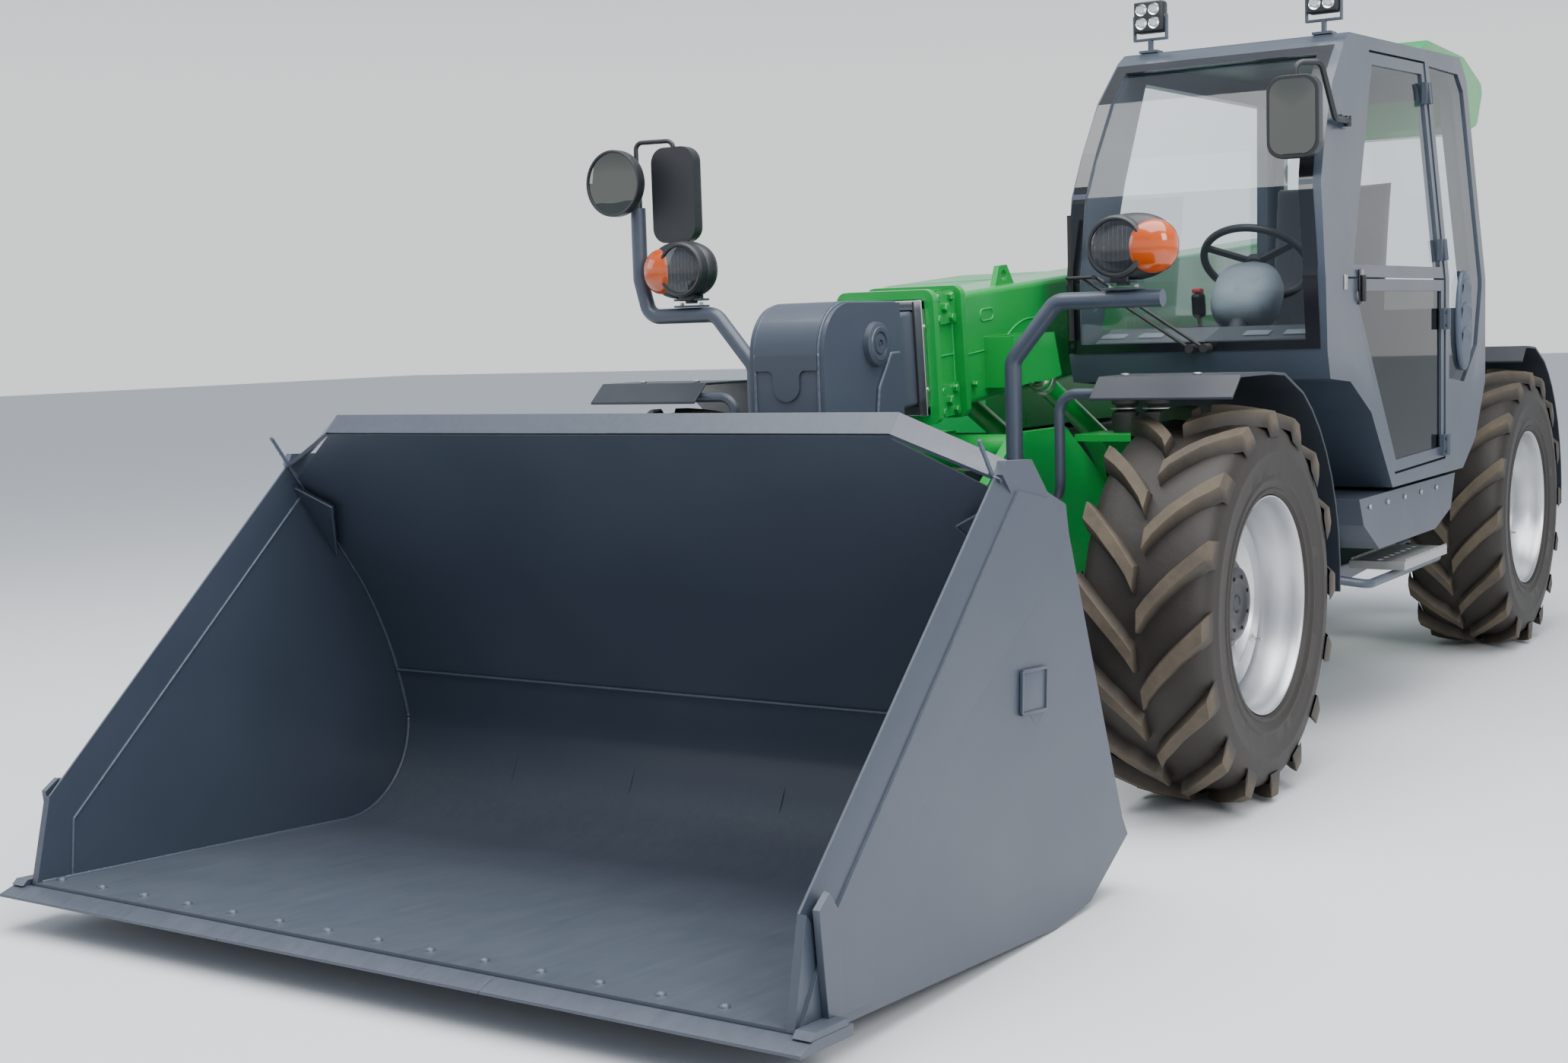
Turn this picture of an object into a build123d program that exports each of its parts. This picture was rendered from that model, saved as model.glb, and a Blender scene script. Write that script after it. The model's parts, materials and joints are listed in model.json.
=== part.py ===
from build123d import *
import os
from math import cos, hypot, radians, sin

# Telescopic handler with a light-material bucket. Millimetres, +Z up, the machine faces -Y
# and +X is its left side, where the cab stands. The model is laid out with the front axle at
# y = 0 and the ground at z = 0. At the end every piece moves together, so that the origin is
# the middle of the whole machine's footprint.

# ---- driving dimensions: running gear
WHEELBASE = 3285.0
TYRE_R = 605.0
TYRE_W = 400.0
TYRE_SHOULDER = 70.0
RIM_R = 333.0
RIM_WALL = 9.0
RIM_DROP = 28.0
RIM_CLEAR = 0.3
DISC_R = RIM_R - 71.0
DISC_T = 14.0
DISC_INSET = 175.0
HUB_R = 96.0
HUB_CAP = 62.0
WHEEL_X = 1006.0
KINGPIN_X = 892.0
KINGPIN_R = 34.0
KNUCKLE_R = 120.0
AXLE_R = 85.0
PIN_CLEAR = 0.05
SKIN_CLEAR = 0.4

# ---- driving dimensions: chassis
RAIL_X = 330.0
RAIL_T = 90.0
RAIL_Z = (560.0, 780.0)
FRAME_FRONT = -270.0
FRAME_REAR = WHEELBASE + 575.0
TOWER_T = 34.0
TOWER_FOOT = 22.0
WEIGHT_DEPTH = 260.0
HOOD_WALL = 20.0
HOOD_HINGE_Z = 1650.0
BOX_WALL = 12.0
WEIGHT_W = 1440.0
WEIGHT_RELIEF = (110.0, 75.0)
TUBE_R = 26.0

# ---- driving dimensions: boom
PIVOT_Y = WHEELBASE + 115.0
PIVOT_Z = 1645.0
PIVOT_R = 55.0
BOOM_DROP = 4.3
BOOM_W = 276.0
BOOM_H = 372.0
BOOM_WALL = 12.0
BOOM_REACH = PIVOT_Y + 200.0
INNER_W = BOOM_W - 50.0
INNER_H = BOOM_H - 72.0
COLLAR_W = BOOM_W + 80.0
COLLAR_H = BOOM_H + 58.0
COLLAR_T = 30.0
COLLAR_GAP = 175.0
HEAD_W = INNER_W + 36.0
HEAD_TOP = 1550.0
HEAD_FRONT = -800.0
HEAD_REAR = -345.0
HEAD_CORNER = 150.0
HEAD_WALL = 20.0

# ---- driving dimensions: bucket, in its own level frame (u forward, v up from the heel)
BUCKET_PIN = (-720.0, 300.0)
BUCKET_PIN_R = 40.0
HEEL_Y = -1476.0
HEEL_Z = 4.0
BUCKET_TILT = 4.0
BLADE_T = 25.0
SHELL_T = 9.0
SIDE_X = 1172.0
BLADE_HALF = SIDE_X + 52.0
SIDE_T = 22.0
LIP_HALF = SIDE_X - 256.0
LIP_W = 62.0
EDGE_BAND = 66.0
BOLT_COUNT = 15
BOLT_R = 13.0

# ---- driving dimensions: lift and tilt cylinders
LIFT_X = BOOM_W / 2 + 53.0
LIFT_EYE = (392.0, 1335.0)
LIFT_BASE = (2050.0, 560.0)
LIFT_BARREL_R = 37.0
LIFT_ROD_R = 20.0
TILT_EYE = (-905.0, 600.0)
TILT_BASE = (-480.0, 1250.0)
TILT_BARREL_R = 45.0
TILT_ROD_R = 25.0

# ---- driving dimensions: cab
CAB_X = (254.0, 1168.0)
CAB_ROOF_X = (262.0, 1066.0)
CAB_BELT_Z = 1590.0
CAB_ROOF_Z = 2440.0
CAB_FLOOR_Z = 850.0
CAB_REAR = 2630.0
CAB_WALL = 46.0
GLASS_T = 6.0
DOOR_GAP = 7.0
DOOR_FRAME = 42.0
HINGE_R = 11.0
SEAT_W = 500.0
STEER_RING_R = 190.0

# ---- driving dimensions: fenders, lamps, mirrors
FENDER_X = (727.0, 1177.0)
FENDER_T = 9.0
FENDER_R = TYRE_R + 119.0
FENDER_TOP = TYRE_R + 701.0
LAMP_X = (845.0, 724.0)
LAMP_Y = -330.0
LAMP_Z = 1688.0
LAMP_R = 84.0
ARM_Z = 1535.0
ARM_Y = -262.0
MIRROR_R = 112.0

OUT = "parts"
STANDING = (Align.CENTER, Align.CENTER, Align.MIN)
FRONT, REAR = 0.0, WHEELBASE


# ---- shapes used by more than one piece
def core_x(outline, x0, x1, wall):
    """The space inside a prism along x whose walls are this thick."""
    face = offset(Polygon(*outline, align=None), amount=-wall, kind=Kind.INTERSECTION)
    return extrude(Plane.YZ.offset(x0 + wall) * face, amount=x1 - x0 - 2 * wall, dir=(1, 0, 0))


def prism_x(outline, x0, x1):
    """A solid with a (y, z) outline, from x0 to x1."""
    face = Plane.YZ.offset(x0) * Polygon(*outline, align=None)
    return extrude(face, amount=x1 - x0, dir=(1, 0, 0))


def prism_y(outline, y0, y1):
    """A solid with an (x, z) outline, from y0 to y1."""
    face = Plane.XZ.offset(-y0) * Polygon(*outline, align=None)
    return extrude(face, amount=y1 - y0, dir=(0, 1, 0))


def prism_z(outline, z0, z1):
    """A solid with an (x, y) outline, from z0 to z1."""
    face = Plane.XY.offset(z0) * Polygon(*outline, align=None)
    return extrude(face, amount=z1 - z0, dir=(0, 0, 1))


def block(x0, x1, y0, y1, z0, z1, round_edges=0.0):
    """A box between two corners, with its edges rounded when a radius is given."""
    x0, x1 = sorted((x0, x1))
    solid = Pos(x0, y0, z0) * Box(x1 - x0, y1 - y0, z1 - z0, align=Align.MIN)
    if round_edges:
        solid = fillet(solid.edges(), min(round_edges, 0.45 * min(x1 - x0, y1 - y0, z1 - z0)))
    return solid


def rod(start, end, radius):
    """A round bar between two points."""
    run = Vector(*end) - Vector(*start)
    place = Plane(origin=start, z_dir=run)
    return place * Cylinder(radius, run.length, align=STANDING)


def cross_pin(y, z, radius, x0, x1):
    """A round bar across the machine."""
    return rod((x0, y, z), (x1, y, z), radius)


def pipe(points, radius, bend):
    """A round tube along straight runs joined by arcs."""
    path = FilletPolyline(*points, radius=bend)
    return sweep(Plane(origin=path @ 0, z_dir=path % 0) * Circle(radius), path=path)


def polar(centre, radius, angle):
    return (centre[0] + radius * cos(radians(angle)), centre[1] + radius * sin(radians(angle)))


def mirrored(solid):
    """The same piece on the machine's other side."""
    return mirror(solid, about=Plane.YZ)


def both_sides(solid):
    return [solid, mirrored(solid)]


# ---- wheels, knuckles and axles
def wheel_place(side, axle_y):
    """The wheel's own frame: z runs outward from the wheel's middle plane."""
    return Plane(origin=(side * WHEEL_X, axle_y, TYRE_R), x_dir=(0, 1, 0), z_dir=(side, 0, 0))


def tyre(side, axle_y):
    half, inner = TYRE_W / 2, RIM_R + RIM_CLEAR
    crown = TYRE_R - 22.0
    outline = [(inner, half - 22), (inner + 60, half), (TYRE_R - 95, half), (crown, half - TYRE_SHOULDER)]
    outline += [(TYRE_R, half - 1.6 * TYRE_SHOULDER)]
    outline += [(r, -h) for r, h in reversed(outline)]
    ring = revolve(Plane.XZ * Polygon(*outline, align=None), Axis.Z)
    return wheel_place(side, axle_y) * ring


def rim(side, axle_y):
    half = TYRE_W / 2 - 22
    seat, well = RIM_R, RIM_R - RIM_DROP
    outer = [(seat, half), (seat, half - 26), (seat - 12, half - 60), (well, half - 95), (well, 95 - half),
             (seat - 12, 60 - half), (seat, 26 - half), (seat, -half)]
    inner = [(r - RIM_WALL, z) for r, z in reversed(outer)]
    barrel = revolve(Plane.XZ * Polygon(*outer, *inner, align=None), Axis.Z)
    disc_z = TYRE_W / 2 - DISC_INSET
    dish = [(HUB_R + 0.2, disc_z), (170, disc_z), (200, disc_z + 34), (DISC_R, disc_z + 34),
            (well - RIM_WALL + 2, disc_z + 2), (well - RIM_WALL + 2, disc_z + 2 - DISC_T),
            (DISC_R - 4, disc_z + 34 - DISC_T), (206, disc_z + 34 - DISC_T), (176, disc_z - DISC_T),
            (HUB_R + 0.2, disc_z - DISC_T)]
    disc = revolve(Plane.XZ * Polygon(*dish, align=None), Axis.Z)
    cap = Pos(0, 0, disc_z - DISC_T) * Cylinder(HUB_R, HUB_CAP + DISC_T, align=STANDING)
    cap = chamfer(cap.edges().sort_by(Axis.Z)[-1], 14)
    flange = Pos(0, 0, disc_z - 2 * DISC_T) * Cylinder(165, DISC_T, align=STANDING)
    return wheel_place(side, axle_y) * (barrel + disc + cap + flange)


def knuckle(side, axle_y):
    """The swivelling hub carrier, held on the axle's end by its king pin."""
    face = WHEEL_X + TYRE_W / 2 - DISC_INSET - 2 * DISC_T - 2
    hub = rod((side * (KINGPIN_X + 59), axle_y, TYRE_R), (side * face, axle_y, TYRE_R), KNUCKLE_R)
    cheeks = [block(side * (KINGPIN_X - 62), side * (KINGPIN_X + 78), axle_y - 62, axle_y + 62, z0, z0 + 30)
              for z0 in (TYRE_R - AXLE_R - 42, TYRE_R + AXLE_R + 12)]
    web = block(side * (KINGPIN_X + 58), side * (KINGPIN_X + 78), axle_y - 62, axle_y + 62,
                TYRE_R - AXLE_R - 42, TYRE_R + AXLE_R + 42)
    pin = rod((side * KINGPIN_X, axle_y, TYRE_R - AXLE_R - 42),
              (side * KINGPIN_X, axle_y, TYRE_R + AXLE_R + 42),
              KINGPIN_R)
    clear = rod((side * (KINGPIN_X - 80), axle_y, TYRE_R), (side * (KINGPIN_X + 57), axle_y, TYRE_R),
                AXLE_R + 11)
    body = hub + web + cheeks[0] + cheeks[1]
    return (body - clear) + pin


def axle(axle_y):
    """One drive axle: a banjo housing with a bored boss at each end for the king pins."""
    end, bulge, neck = KINGPIN_X - 30, 170.0, AXLE_R - 12
    outline = [(-end, 0), (-end, neck), (-230, neck), (-110, bulge), (110, bulge), (230, neck), (end, neck),
               (end, 0)]
    body = Pos(0, axle_y, TYRE_R) * revolve(Plane.XZ * Polygon(*outline, align=None), Axis.X)
    boss = Pos(KINGPIN_X, axle_y, TYRE_R) * Cylinder(KINGPIN_R + 20, 2 * AXLE_R - 26)
    bore = Pos(KINGPIN_X, axle_y, TYRE_R) * Cylinder(KINGPIN_R + PIN_CLEAR, 2 * AXLE_R + 60)
    body = body + boss + mirrored(boss)
    return body - bore - mirrored(bore)


# ---- chassis
def chassis():
    """Two welded rails with cross members, a front plate structure and the boom's rear tower."""
    rail = block(RAIL_X - RAIL_T, RAIL_X, FRAME_FRONT, FRAME_REAR, *RAIL_Z)
    frame = rail + mirrored(rail)
    for y in (FRAME_FRONT, 1250, LIFT_BASE[0] + 50, 2900, FRAME_REAR - 90):
        frame += block(-RAIL_X, RAIL_X, y, y + 90, RAIL_Z[0] + 20, RAIL_Z[1] - 20)
    cheek = [(FRAME_FRONT, RAIL_Z[1] - 60), (FRAME_FRONT, 900), (60, 1120), (420, 1120), (640, 980),
             (1050, 700),
             (1050, 560), (760, 500), (420, 560)]
    frame += prism_x(cheek, RAIL_X - TOWER_T, RAIL_X) + prism_x(cheek, -RAIL_X, TOWER_T - RAIL_X)
    post = prism_x([(560, 1060), (760, 1060), (1150, 700), (950, 700)], RAIL_X, RAIL_X + 70)
    frame += post + mirrored(post)
    shelf = block(RAIL_X - TOWER_T, RAIL_X + 260, 560, 800, 1060, 1085)
    frame += shelf + mirrored(shelf)
    frame += cross_pin(120, 1050, 62, -RAIL_X + 1, RAIL_X - 1)
    tower = [(PIVOT_Y - 330, RAIL_Z[1] - TOWER_FOOT), (PIVOT_Y - 95, PIVOT_Z + 30), (PIVOT_Y, PIVOT_Z + 100),
             (PIVOT_Y + 95, PIVOT_Z + 30), (PIVOT_Y + 330, RAIL_Z[1] - TOWER_FOOT)]
    x0 = BOOM_W / 2 + 12
    side = prism_x(tower, x0, x0 + TOWER_T)
    frame += side + mirrored(side)
    foot = block(x0, RAIL_X, PIVOT_Y - 330, PIVOT_Y + 330, RAIL_Z[1] - TOWER_FOOT, RAIL_Z[1])
    outrigger = block(RAIL_X - 20, 1000, 2250, 2330, 700, 800)
    frame += foot + mirrored(foot) + outrigger
    pin = cross_pin(PIVOT_Y, PIVOT_Z, PIVOT_R, -x0 - TOWER_T - 14, x0 + TOWER_T + 14)
    y, z = LIFT_BASE
    lug_x = LIFT_X - LIFT_BARREL_R - 22
    lug = prism_x([(y - 48, z - 40), (y - 48, z + 40), (y + 60, RAIL_Z[1] - 60), (y + 100, RAIL_Z[1] - 60),
                   (y + 100, RAIL_Z[0] + 22), (y + 40, z - 48)], lug_x, lug_x + 16)
    lug += cross_pin(y, z, LIFT_ROD_R + 4, lug_x + 1, RAIL_X - RAIL_T + 5)
    frame += lug + mirrored(lug)
    for axle_y in (FRONT, REAR):
        frame -= cross_pin(axle_y, TYRE_R, AXLE_R - 12 + SKIN_CLEAR, -RAIL_X - 120, RAIL_X + 120)
    return frame + pin


def counterweight():
    """The cast rear weight, relieved at its front corners where the steered tyres swing past."""
    front = FRAME_REAR
    half = WEIGHT_W / 2
    cut_x, cut_y = WEIGHT_RELIEF
    right = [(half - cut_x, front), (half, front + cut_y), (half, front + 0.45 * WEIGHT_DEPTH),
             (half - 190, front + WEIGHT_DEPTH)]
    outline = right + [(-x, y) for x, y in reversed(right)]
    weight = prism_z(outline, 560, 1120)
    return fillet(weight.edges().group_by(Axis.Z)[-1], 40)


def engine_bay():
    """The steel box beside the boom that holds the engine."""
    x0, x1, y0, y1, z0, z1 = -1085, -RAIL_X - 76, 1060, 2560, 640, 1040
    t = BOX_WALL
    return block(x0, x1, y0, y1, z0, z1, 24) - block(x0 + t, x1 - t, y0 + t, y1 - t, z0 + t, z1 - t)


def hood():
    """The moulded engine cover, hinged along its boom-side edge."""
    side = [(1050, 1060), (1050, 1480), (1150, 1572), (1700, 1650), (2380, 1700), (2580, 1640), (2580, 1060)]
    outer = prism_x(side, -1090, -RAIL_X + 30)
    outer = fillet(outer.edges().filter_by(Axis.Z).group_by(Axis.X)[0], 40)
    inner = core_x(side, -1090, -RAIL_X + 30, HOOD_WALL)
    below = block(HOOD_WALL - 1090, -RAIL_X + 30 - HOOD_WALL, 1050 + HOOD_WALL, 2580 - HOOD_WALL, 1000, 1200)
    cover = outer - inner - below
    for y in (1780, 2300):
        cover += rod((-RAIL_X + 30, y, HOOD_HINGE_Z), (-RAIL_X + 30, y + 90, HOOD_HINGE_Z), HINGE_R)
    return cover


def sill():
    """The box under the cab's door, with the belly plate below it."""
    side = [(1010, 835), (2240, 835), (2180, 700), (1960, 640), (1240, 640), (1060, 740)]
    box = prism_x(side, 560, 1150) - core_x(side, 560, 1150, BOX_WALL)
    belly = prism_x([(760, 560), (2260, 560), (2260, 535), (860, 470), (760, 500)], RAIL_X + 2, 970)
    web = block(620, 700, 1300, 1980, 535, 660)
    return box + belly + web


def step():
    """The serrated tread that the driver climbs on, on its bent tube."""
    tread = block(990, 1192, 1405, 1965, 545, 575)
    for i in range(7):
        tread -= Pos(1092, 1465 + i * 72, 560) * Cylinder(17, 80)
    return tread


def step_tube():
    return pipe([(987, 1100, 548), (1130, 1180, 520), (1130, 2080, 520), (987, 2150, 548)], 16, 60)


# ---- fenders and tube arms
def fender(axle_y, start, end):
    """A moulded mudguard: a flat top over the wheel that turns into an arc behind it."""
    centre = (axle_y, TYRE_R)
    top = [polar(centre, FENDER_R, a) for a in range(end, 62, 8)]
    nose = [(axle_y - start + 72, FENDER_TOP), (axle_y - start, FENDER_TOP - 62)]
    outer = top + [(axle_y + 190, FENDER_TOP - 8), (axle_y + 60, FENDER_TOP)] + nose
    inner = [(y, z - FENDER_T) for y, z in reversed(nose)]
    inner += [(axle_y + 60, FENDER_TOP - FENDER_T), (axle_y + 186, FENDER_TOP - 8 - FENDER_T)]
    inner += [polar(centre, FENDER_R - FENDER_T, a) for a in reversed(range(end, 62, 8))]
    return prism_x(outer + inner, *FENDER_X)


def fenders():
    out = []
    for axle_y, start, end in ((FRONT, 262, -4), (REAR, 60, -4)):
        out += both_sides(fender(axle_y, start, end))
    return out


def fender_stays():
    """Bent tubes that carry the front fenders from the frame."""
    knee = FENDER_X[0] - 127
    stay = pipe([(RAIL_X + 18, 100, 820), (knee, -200, 950), (knee, -200, FENDER_TOP - 51),
                 (FENDER_X[1] - 130, -200, FENDER_TOP - 51)], 16, 60)
    return both_sides(stay)


def lamp_arms():
    """Bent tubes that stand on the frame's nose and carry the headlamps; the right one goes on up
    to the mirrors."""
    knee = 477
    foot = block(RAIL_X, RAIL_X + 16, ARM_Y + 20, ARM_Y + 190, 800, 900)
    base = [(RAIL_X + 12, ARM_Y + 50, 860), (knee, ARM_Y, 900), (knee, ARM_Y, 1360),
            (knee + 150, ARM_Y, ARM_Z)]
    left = pipe(base + [(968, ARM_Y, ARM_Z)], TUBE_R, 55) + foot
    base = [(-x, y, z) for x, y, z in base]
    right = pipe(base + [(-900, ARM_Y, ARM_Z), (-935, ARM_Y, ARM_Z + 130), (-935, ARM_Y, 1905)], TUBE_R, 55)
    return [left, right + mirrored(foot)]


def headlamp(x):
    """A moulded housing with the round lamp inboard and the indicator outboard, on a low bracket."""
    body = Pos(x, LAMP_Y + 60, LAMP_Z) * Sphere(LAMP_R + 10)
    body = body & block(x - 120, x + 120, LAMP_Y, LAMP_Y + 160, LAMP_Z - 95, LAMP_Z + 95)
    tail = Pos(x + 84, LAMP_Y + 70, LAMP_Z + 4) * Sphere(72)
    tail = tail & block(x + 40, x + 170, LAMP_Y + 8, LAMP_Y + 140, LAMP_Z - 80, LAMP_Z + 80)
    stem = rod((x, ARM_Y, ARM_Z + TUBE_R + 13), (x, ARM_Y, LAMP_Z - 60), 21)
    plate = block(x - 60, x + 60, ARM_Y - 30, ARM_Y + 30, ARM_Z + TUBE_R + SKIN_CLEAR, ARM_Z + TUBE_R + 14)
    return body + tail + stem + plate


def round_mirror():
    """A wide-angle mirror in a round shell, clamped to the top of the right arm."""
    shell = rod((-972, ARM_Y - 85, 1988), (-972, ARM_Y - 40, 1988), MIRROR_R)
    shell = fillet(shell.edges().sort_by(Axis.Y)[-1], 24)
    neck = rod((-960, ARM_Y - 41, 1960), (-935, ARM_Y, 1935), 9)
    clamp = rod((-935, ARM_Y, 1906), (-935, ARM_Y, 1946), 15)
    return shell + neck + clamp


def wide_mirror(x, y, z, width, height, depth):
    """A tall rounded mirror housing."""
    shell = block(x - width / 2, x + width / 2, y, y + depth, z - height / 2, z + height / 2)
    shell = fillet(shell.edges().filter_by(Axis.Y), 0.3 * width)
    return fillet(shell.edges().sort_by(Axis.Y)[-1], 0.4 * depth)


def arm_mirror():
    arm = pipe([(-935, ARM_Y, 1950), (-935, ARM_Y, 2125), (-800, ARM_Y + 30, 2125),
                (-800, ARM_Y + 30, 2085)], 8, 24)
    return arm + wide_mirror(-790, ARM_Y + 5, 1942, 175, 320, 62)


def door_mirror():
    """The mirror on the cab's left front pillar, on its bent loop."""
    loop = pipe([(1142, 925, 2110), (1142, 790, 2110), (1125, 700, 2285), (1060, 640, 2285),
                 (1060, 640, 2235)], 10, 30)
    pin = rod((1142, 925, 2092), (1142, 925, 2128), 11.5)
    return loop + pin + wide_mirror(1060, 610, 2110, 175, 265, 58)


# ---- boom
def on_boom(solid):
    """Places a piece drawn with the boom's axis along -Y from its pivot."""
    return Pos(0, PIVOT_Y, PIVOT_Z) * Rot(BOOM_DROP, 0, 0) * solid


def boom_outer():
    """The base section: a welded box with a bored pivot at its rear end and the lift brackets."""
    tube = block(-BOOM_W / 2, BOOM_W / 2, -BOOM_REACH, 150, -BOOM_H / 2, BOOM_H / 2)
    tube = fillet(tube.edges().filter_by(Axis.Y), 22)
    tube -= block(-BOOM_W / 2 + BOOM_WALL, BOOM_W / 2 - BOOM_WALL, -BOOM_REACH - 5, -180,
                  -BOOM_H / 2 + BOOM_WALL, BOOM_H / 2 - BOOM_WALL)
    bore = cross_pin(0, 0, PIVOT_R + PIN_CLEAR, -BOOM_W, BOOM_W)
    lug = prism_x([(-3030, BOOM_H / 2 - 6), (-2990, BOOM_H / 2 + 66), (-2930, BOOM_H / 2 + 66),
                   (-2880, BOOM_H / 2 - 6)], 80, 100)
    lug -= cross_pin(-2958, BOOM_H / 2 + 32, 18, 60, 120)
    boom = on_boom(tube - bore + lug)
    y, z = LIFT_EYE
    ear = [(y - 190, 1434), (y + 120, 1440), (y + 175, 1290), (y + 60, z - 60), (y - 50, z - 60),
           (y - 190, 1260)]
    for x0, thick in ((BOOM_W / 2 - 1, 9), (LIFT_X + LIFT_BARREL_R + 8, 14)):
        plate = prism_x(ear, x0, x0 + thick)
        boom += plate + mirrored(plate)
    cap = block(BOOM_W / 2, LIFT_X + LIFT_BARREL_R + 22, y - 190, y - 172, 1262, 1432)
    return boom + cap + mirrored(cap)


def boom_collar():
    """Two flanges round the mouth of the base section, with the plates that hold the wear pads."""
    out = None
    for y in (-BOOM_REACH - 12, -BOOM_REACH + COLLAR_GAP):
        ring = block(-COLLAR_W / 2, COLLAR_W / 2, y, y + COLLAR_T, -COLLAR_H / 2, COLLAR_H / 2)
        ring = fillet(ring.edges().filter_by(Axis.Y), 34)
        ring -= block(-BOOM_W / 2 - 0.2, BOOM_W / 2 + 0.2, y - 5, y + COLLAR_T + 5, -BOOM_H / 2 - 0.2,
                      BOOM_H / 2 + 0.2)
        out = ring if out is None else out + ring
    y0 = -BOOM_REACH - 12 + COLLAR_T
    y1 = -BOOM_REACH + COLLAR_GAP
    x0 = BOOM_W / 2 + 0.2
    for z in (-COLLAR_H / 2 + 66, COLLAR_H / 2 - 66):
        pad = block(x0, x0 + 16, y0, y1, z - 52, z + 52)
        for dy in (24, y1 - y0 - 24):
            for dz in (-34, 34):
                pad += cross_pin(y0 + dy, z + dz, 9, x0 + 15, x0 + 25)
        pad += cross_pin((y0 + y1) / 2, z, 12, x0 + 15, x0 + 28)
        out += pad + mirrored(pad)
    for z in (-COLLAR_H / 2 + 20, COLLAR_H / 2 - 20):
        bar = block(-BOOM_W / 2 + 30, BOOM_W / 2 - 30, y0 - 1, y1 + 1, z - 8, z + 8)
        out += bar
    return on_boom(out)


def boom_wiper():
    """The bristle strip in its bright holder round the mouth of the base section."""
    y = -BOOM_REACH - 13
    ring = block(-COLLAR_W / 2 + 30, COLLAR_W / 2 - 30, y - 22, y, -COLLAR_H / 2 + 30, COLLAR_H / 2 - 30)
    hole = block(-INNER_W / 2 - 4, INNER_W / 2 + 4, y - 30, y + 8, -INNER_H / 2 - 4, INNER_H / 2 + 4)
    return on_boom(ring - hole)


def boom_inner():
    """The sliding section with the head welded to its front end."""
    reach = PIVOT_Y - HEAD_REAR + 20
    tube = block(-INNER_W / 2, INNER_W / 2, -reach, -420, -INNER_H / 2, INNER_H / 2)
    tube = fillet(tube.edges().filter_by(Axis.Y), 14)
    tube -= block(-INNER_W / 2 + BOOM_WALL, INNER_W / 2 - BOOM_WALL, -reach + 30, -410,
                  -INNER_H / 2 + BOOM_WALL, INNER_H / 2 - BOOM_WALL)
    return on_boom(tube)


def boom_head():
    """The cranked head: two cheeks and a rolled front plate, open below for the tilt cylinder."""
    y, z = BUCKET_PIN
    outline = [(HEAD_FRONT, z + 60), (HEAD_FRONT, HEAD_TOP), (HEAD_REAR, HEAD_TOP), (HEAD_REAR, 1130),
               (HEAD_REAR - 60, 960), (y + 140, z - 10), (y + 50, z - 80), (y - 30, z - 80)]
    head = prism_x(outline, -HEAD_W / 2, HEAD_W / 2)
    corner = head.edges().filter_by(Axis.X).group_by(Axis.Z)[-1].sort_by(Axis.Y)[0]
    head = fillet(corner, HEAD_CORNER)
    inside = [(HEAD_FRONT + HEAD_WALL, 1020), (HEAD_FRONT + HEAD_WALL, HEAD_TOP - 60),
              (HEAD_FRONT + 90, HEAD_TOP - HEAD_WALL - 20), (HEAD_REAR - 30, HEAD_TOP - HEAD_WALL - 20),
              (HEAD_REAR - 30, 1180), (HEAD_REAR + 40, 1000), (y + 200, z - 140), (HEAD_FRONT - 60, z - 140),
              (HEAD_FRONT - 60, 1020)]
    head -= prism_x(inside, -HEAD_W / 2 + HEAD_WALL, HEAD_W / 2 - HEAD_WALL)
    boss_y, boss_z = -505, 1425
    head += cross_pin(boss_y, boss_z, 62, HEAD_W / 2 - 2, HEAD_W / 2 + 16)
    head += cross_pin(boss_y, boss_z, 62, -HEAD_W / 2 - 16, 2 - HEAD_W / 2)
    doubler = prism_x([(HEAD_REAR - 4, 1392), (HEAD_REAR - 70, 1392), (-490, 1290), (-560, 860),
                       (HEAD_REAR - 90, 960),
                       (HEAD_REAR - 4, 1140)], HEAD_W / 2 - 1, HEAD_W / 2 + 10)
    head += doubler + mirrored(doubler)
    tube = cross_pin(y, z, BUCKET_PIN_R + 26, -HEAD_W / 2, HEAD_W / 2)
    head += tube
    base_y, base_z = TILT_BASE
    head += cross_pin(base_y, base_z, TILT_ROD_R, -HEAD_W / 2 + 5, HEAD_W / 2 - 5)
    return head - cross_pin(y, z, BUCKET_PIN_R + PIN_CLEAR, -HEAD_W, HEAD_W)


# ---- cylinders
def aim(start, end):
    """The frame whose z axis runs from one (y, z) point to another."""
    run = Vector(0, end[0] - start[0], end[1] - start[1])
    return Plane(origin=(0, start[0], start[1]), x_dir=(1, 0, 0), z_dir=run)


def span(start, end):
    return hypot(end[0] - start[0], end[1] - start[1])


def barrel(radius, eye_r, width, hole_r, length):
    """A cylinder's barrel along z, with a bored eye at its foot and a gland at its mouth."""
    eye = Rot(0, 90, 0) * Cylinder(eye_r, width)
    body = Pos(0, 0, eye_r * 0.7) * Cylinder(radius, length - eye_r * 0.7, align=STANDING)
    gland = Pos(0, 0, length - 36) * Cylinder(radius + 5, 36, align=STANDING)
    return eye + body + gland - Rot(0, 90, 0) * Cylinder(hole_r, width + 20)


def piston(radius, eye_r, width, hole_r, tip, length):
    """A cylinder's rod along z, from inside the barrel to the eye at its tip."""
    shaft = Pos(0, 0, tip - length) * Cylinder(radius, length - 0.7 * eye_r, align=STANDING)
    eye = Pos(0, 0, tip) * Rot(0, 90, 0) * Cylinder(eye_r, width)
    return shaft + eye - Pos(0, 0, tip) * Rot(0, 90, 0) * Cylinder(hole_r, width + 20)


LIFT_LENGTH = span(LIFT_BASE, LIFT_EYE)
LIFT_BARREL_L = LIFT_LENGTH - 130.0
TILT_LENGTH = span(TILT_BASE, TILT_EYE)
TILT_BARREL_L = 600.0


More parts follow.
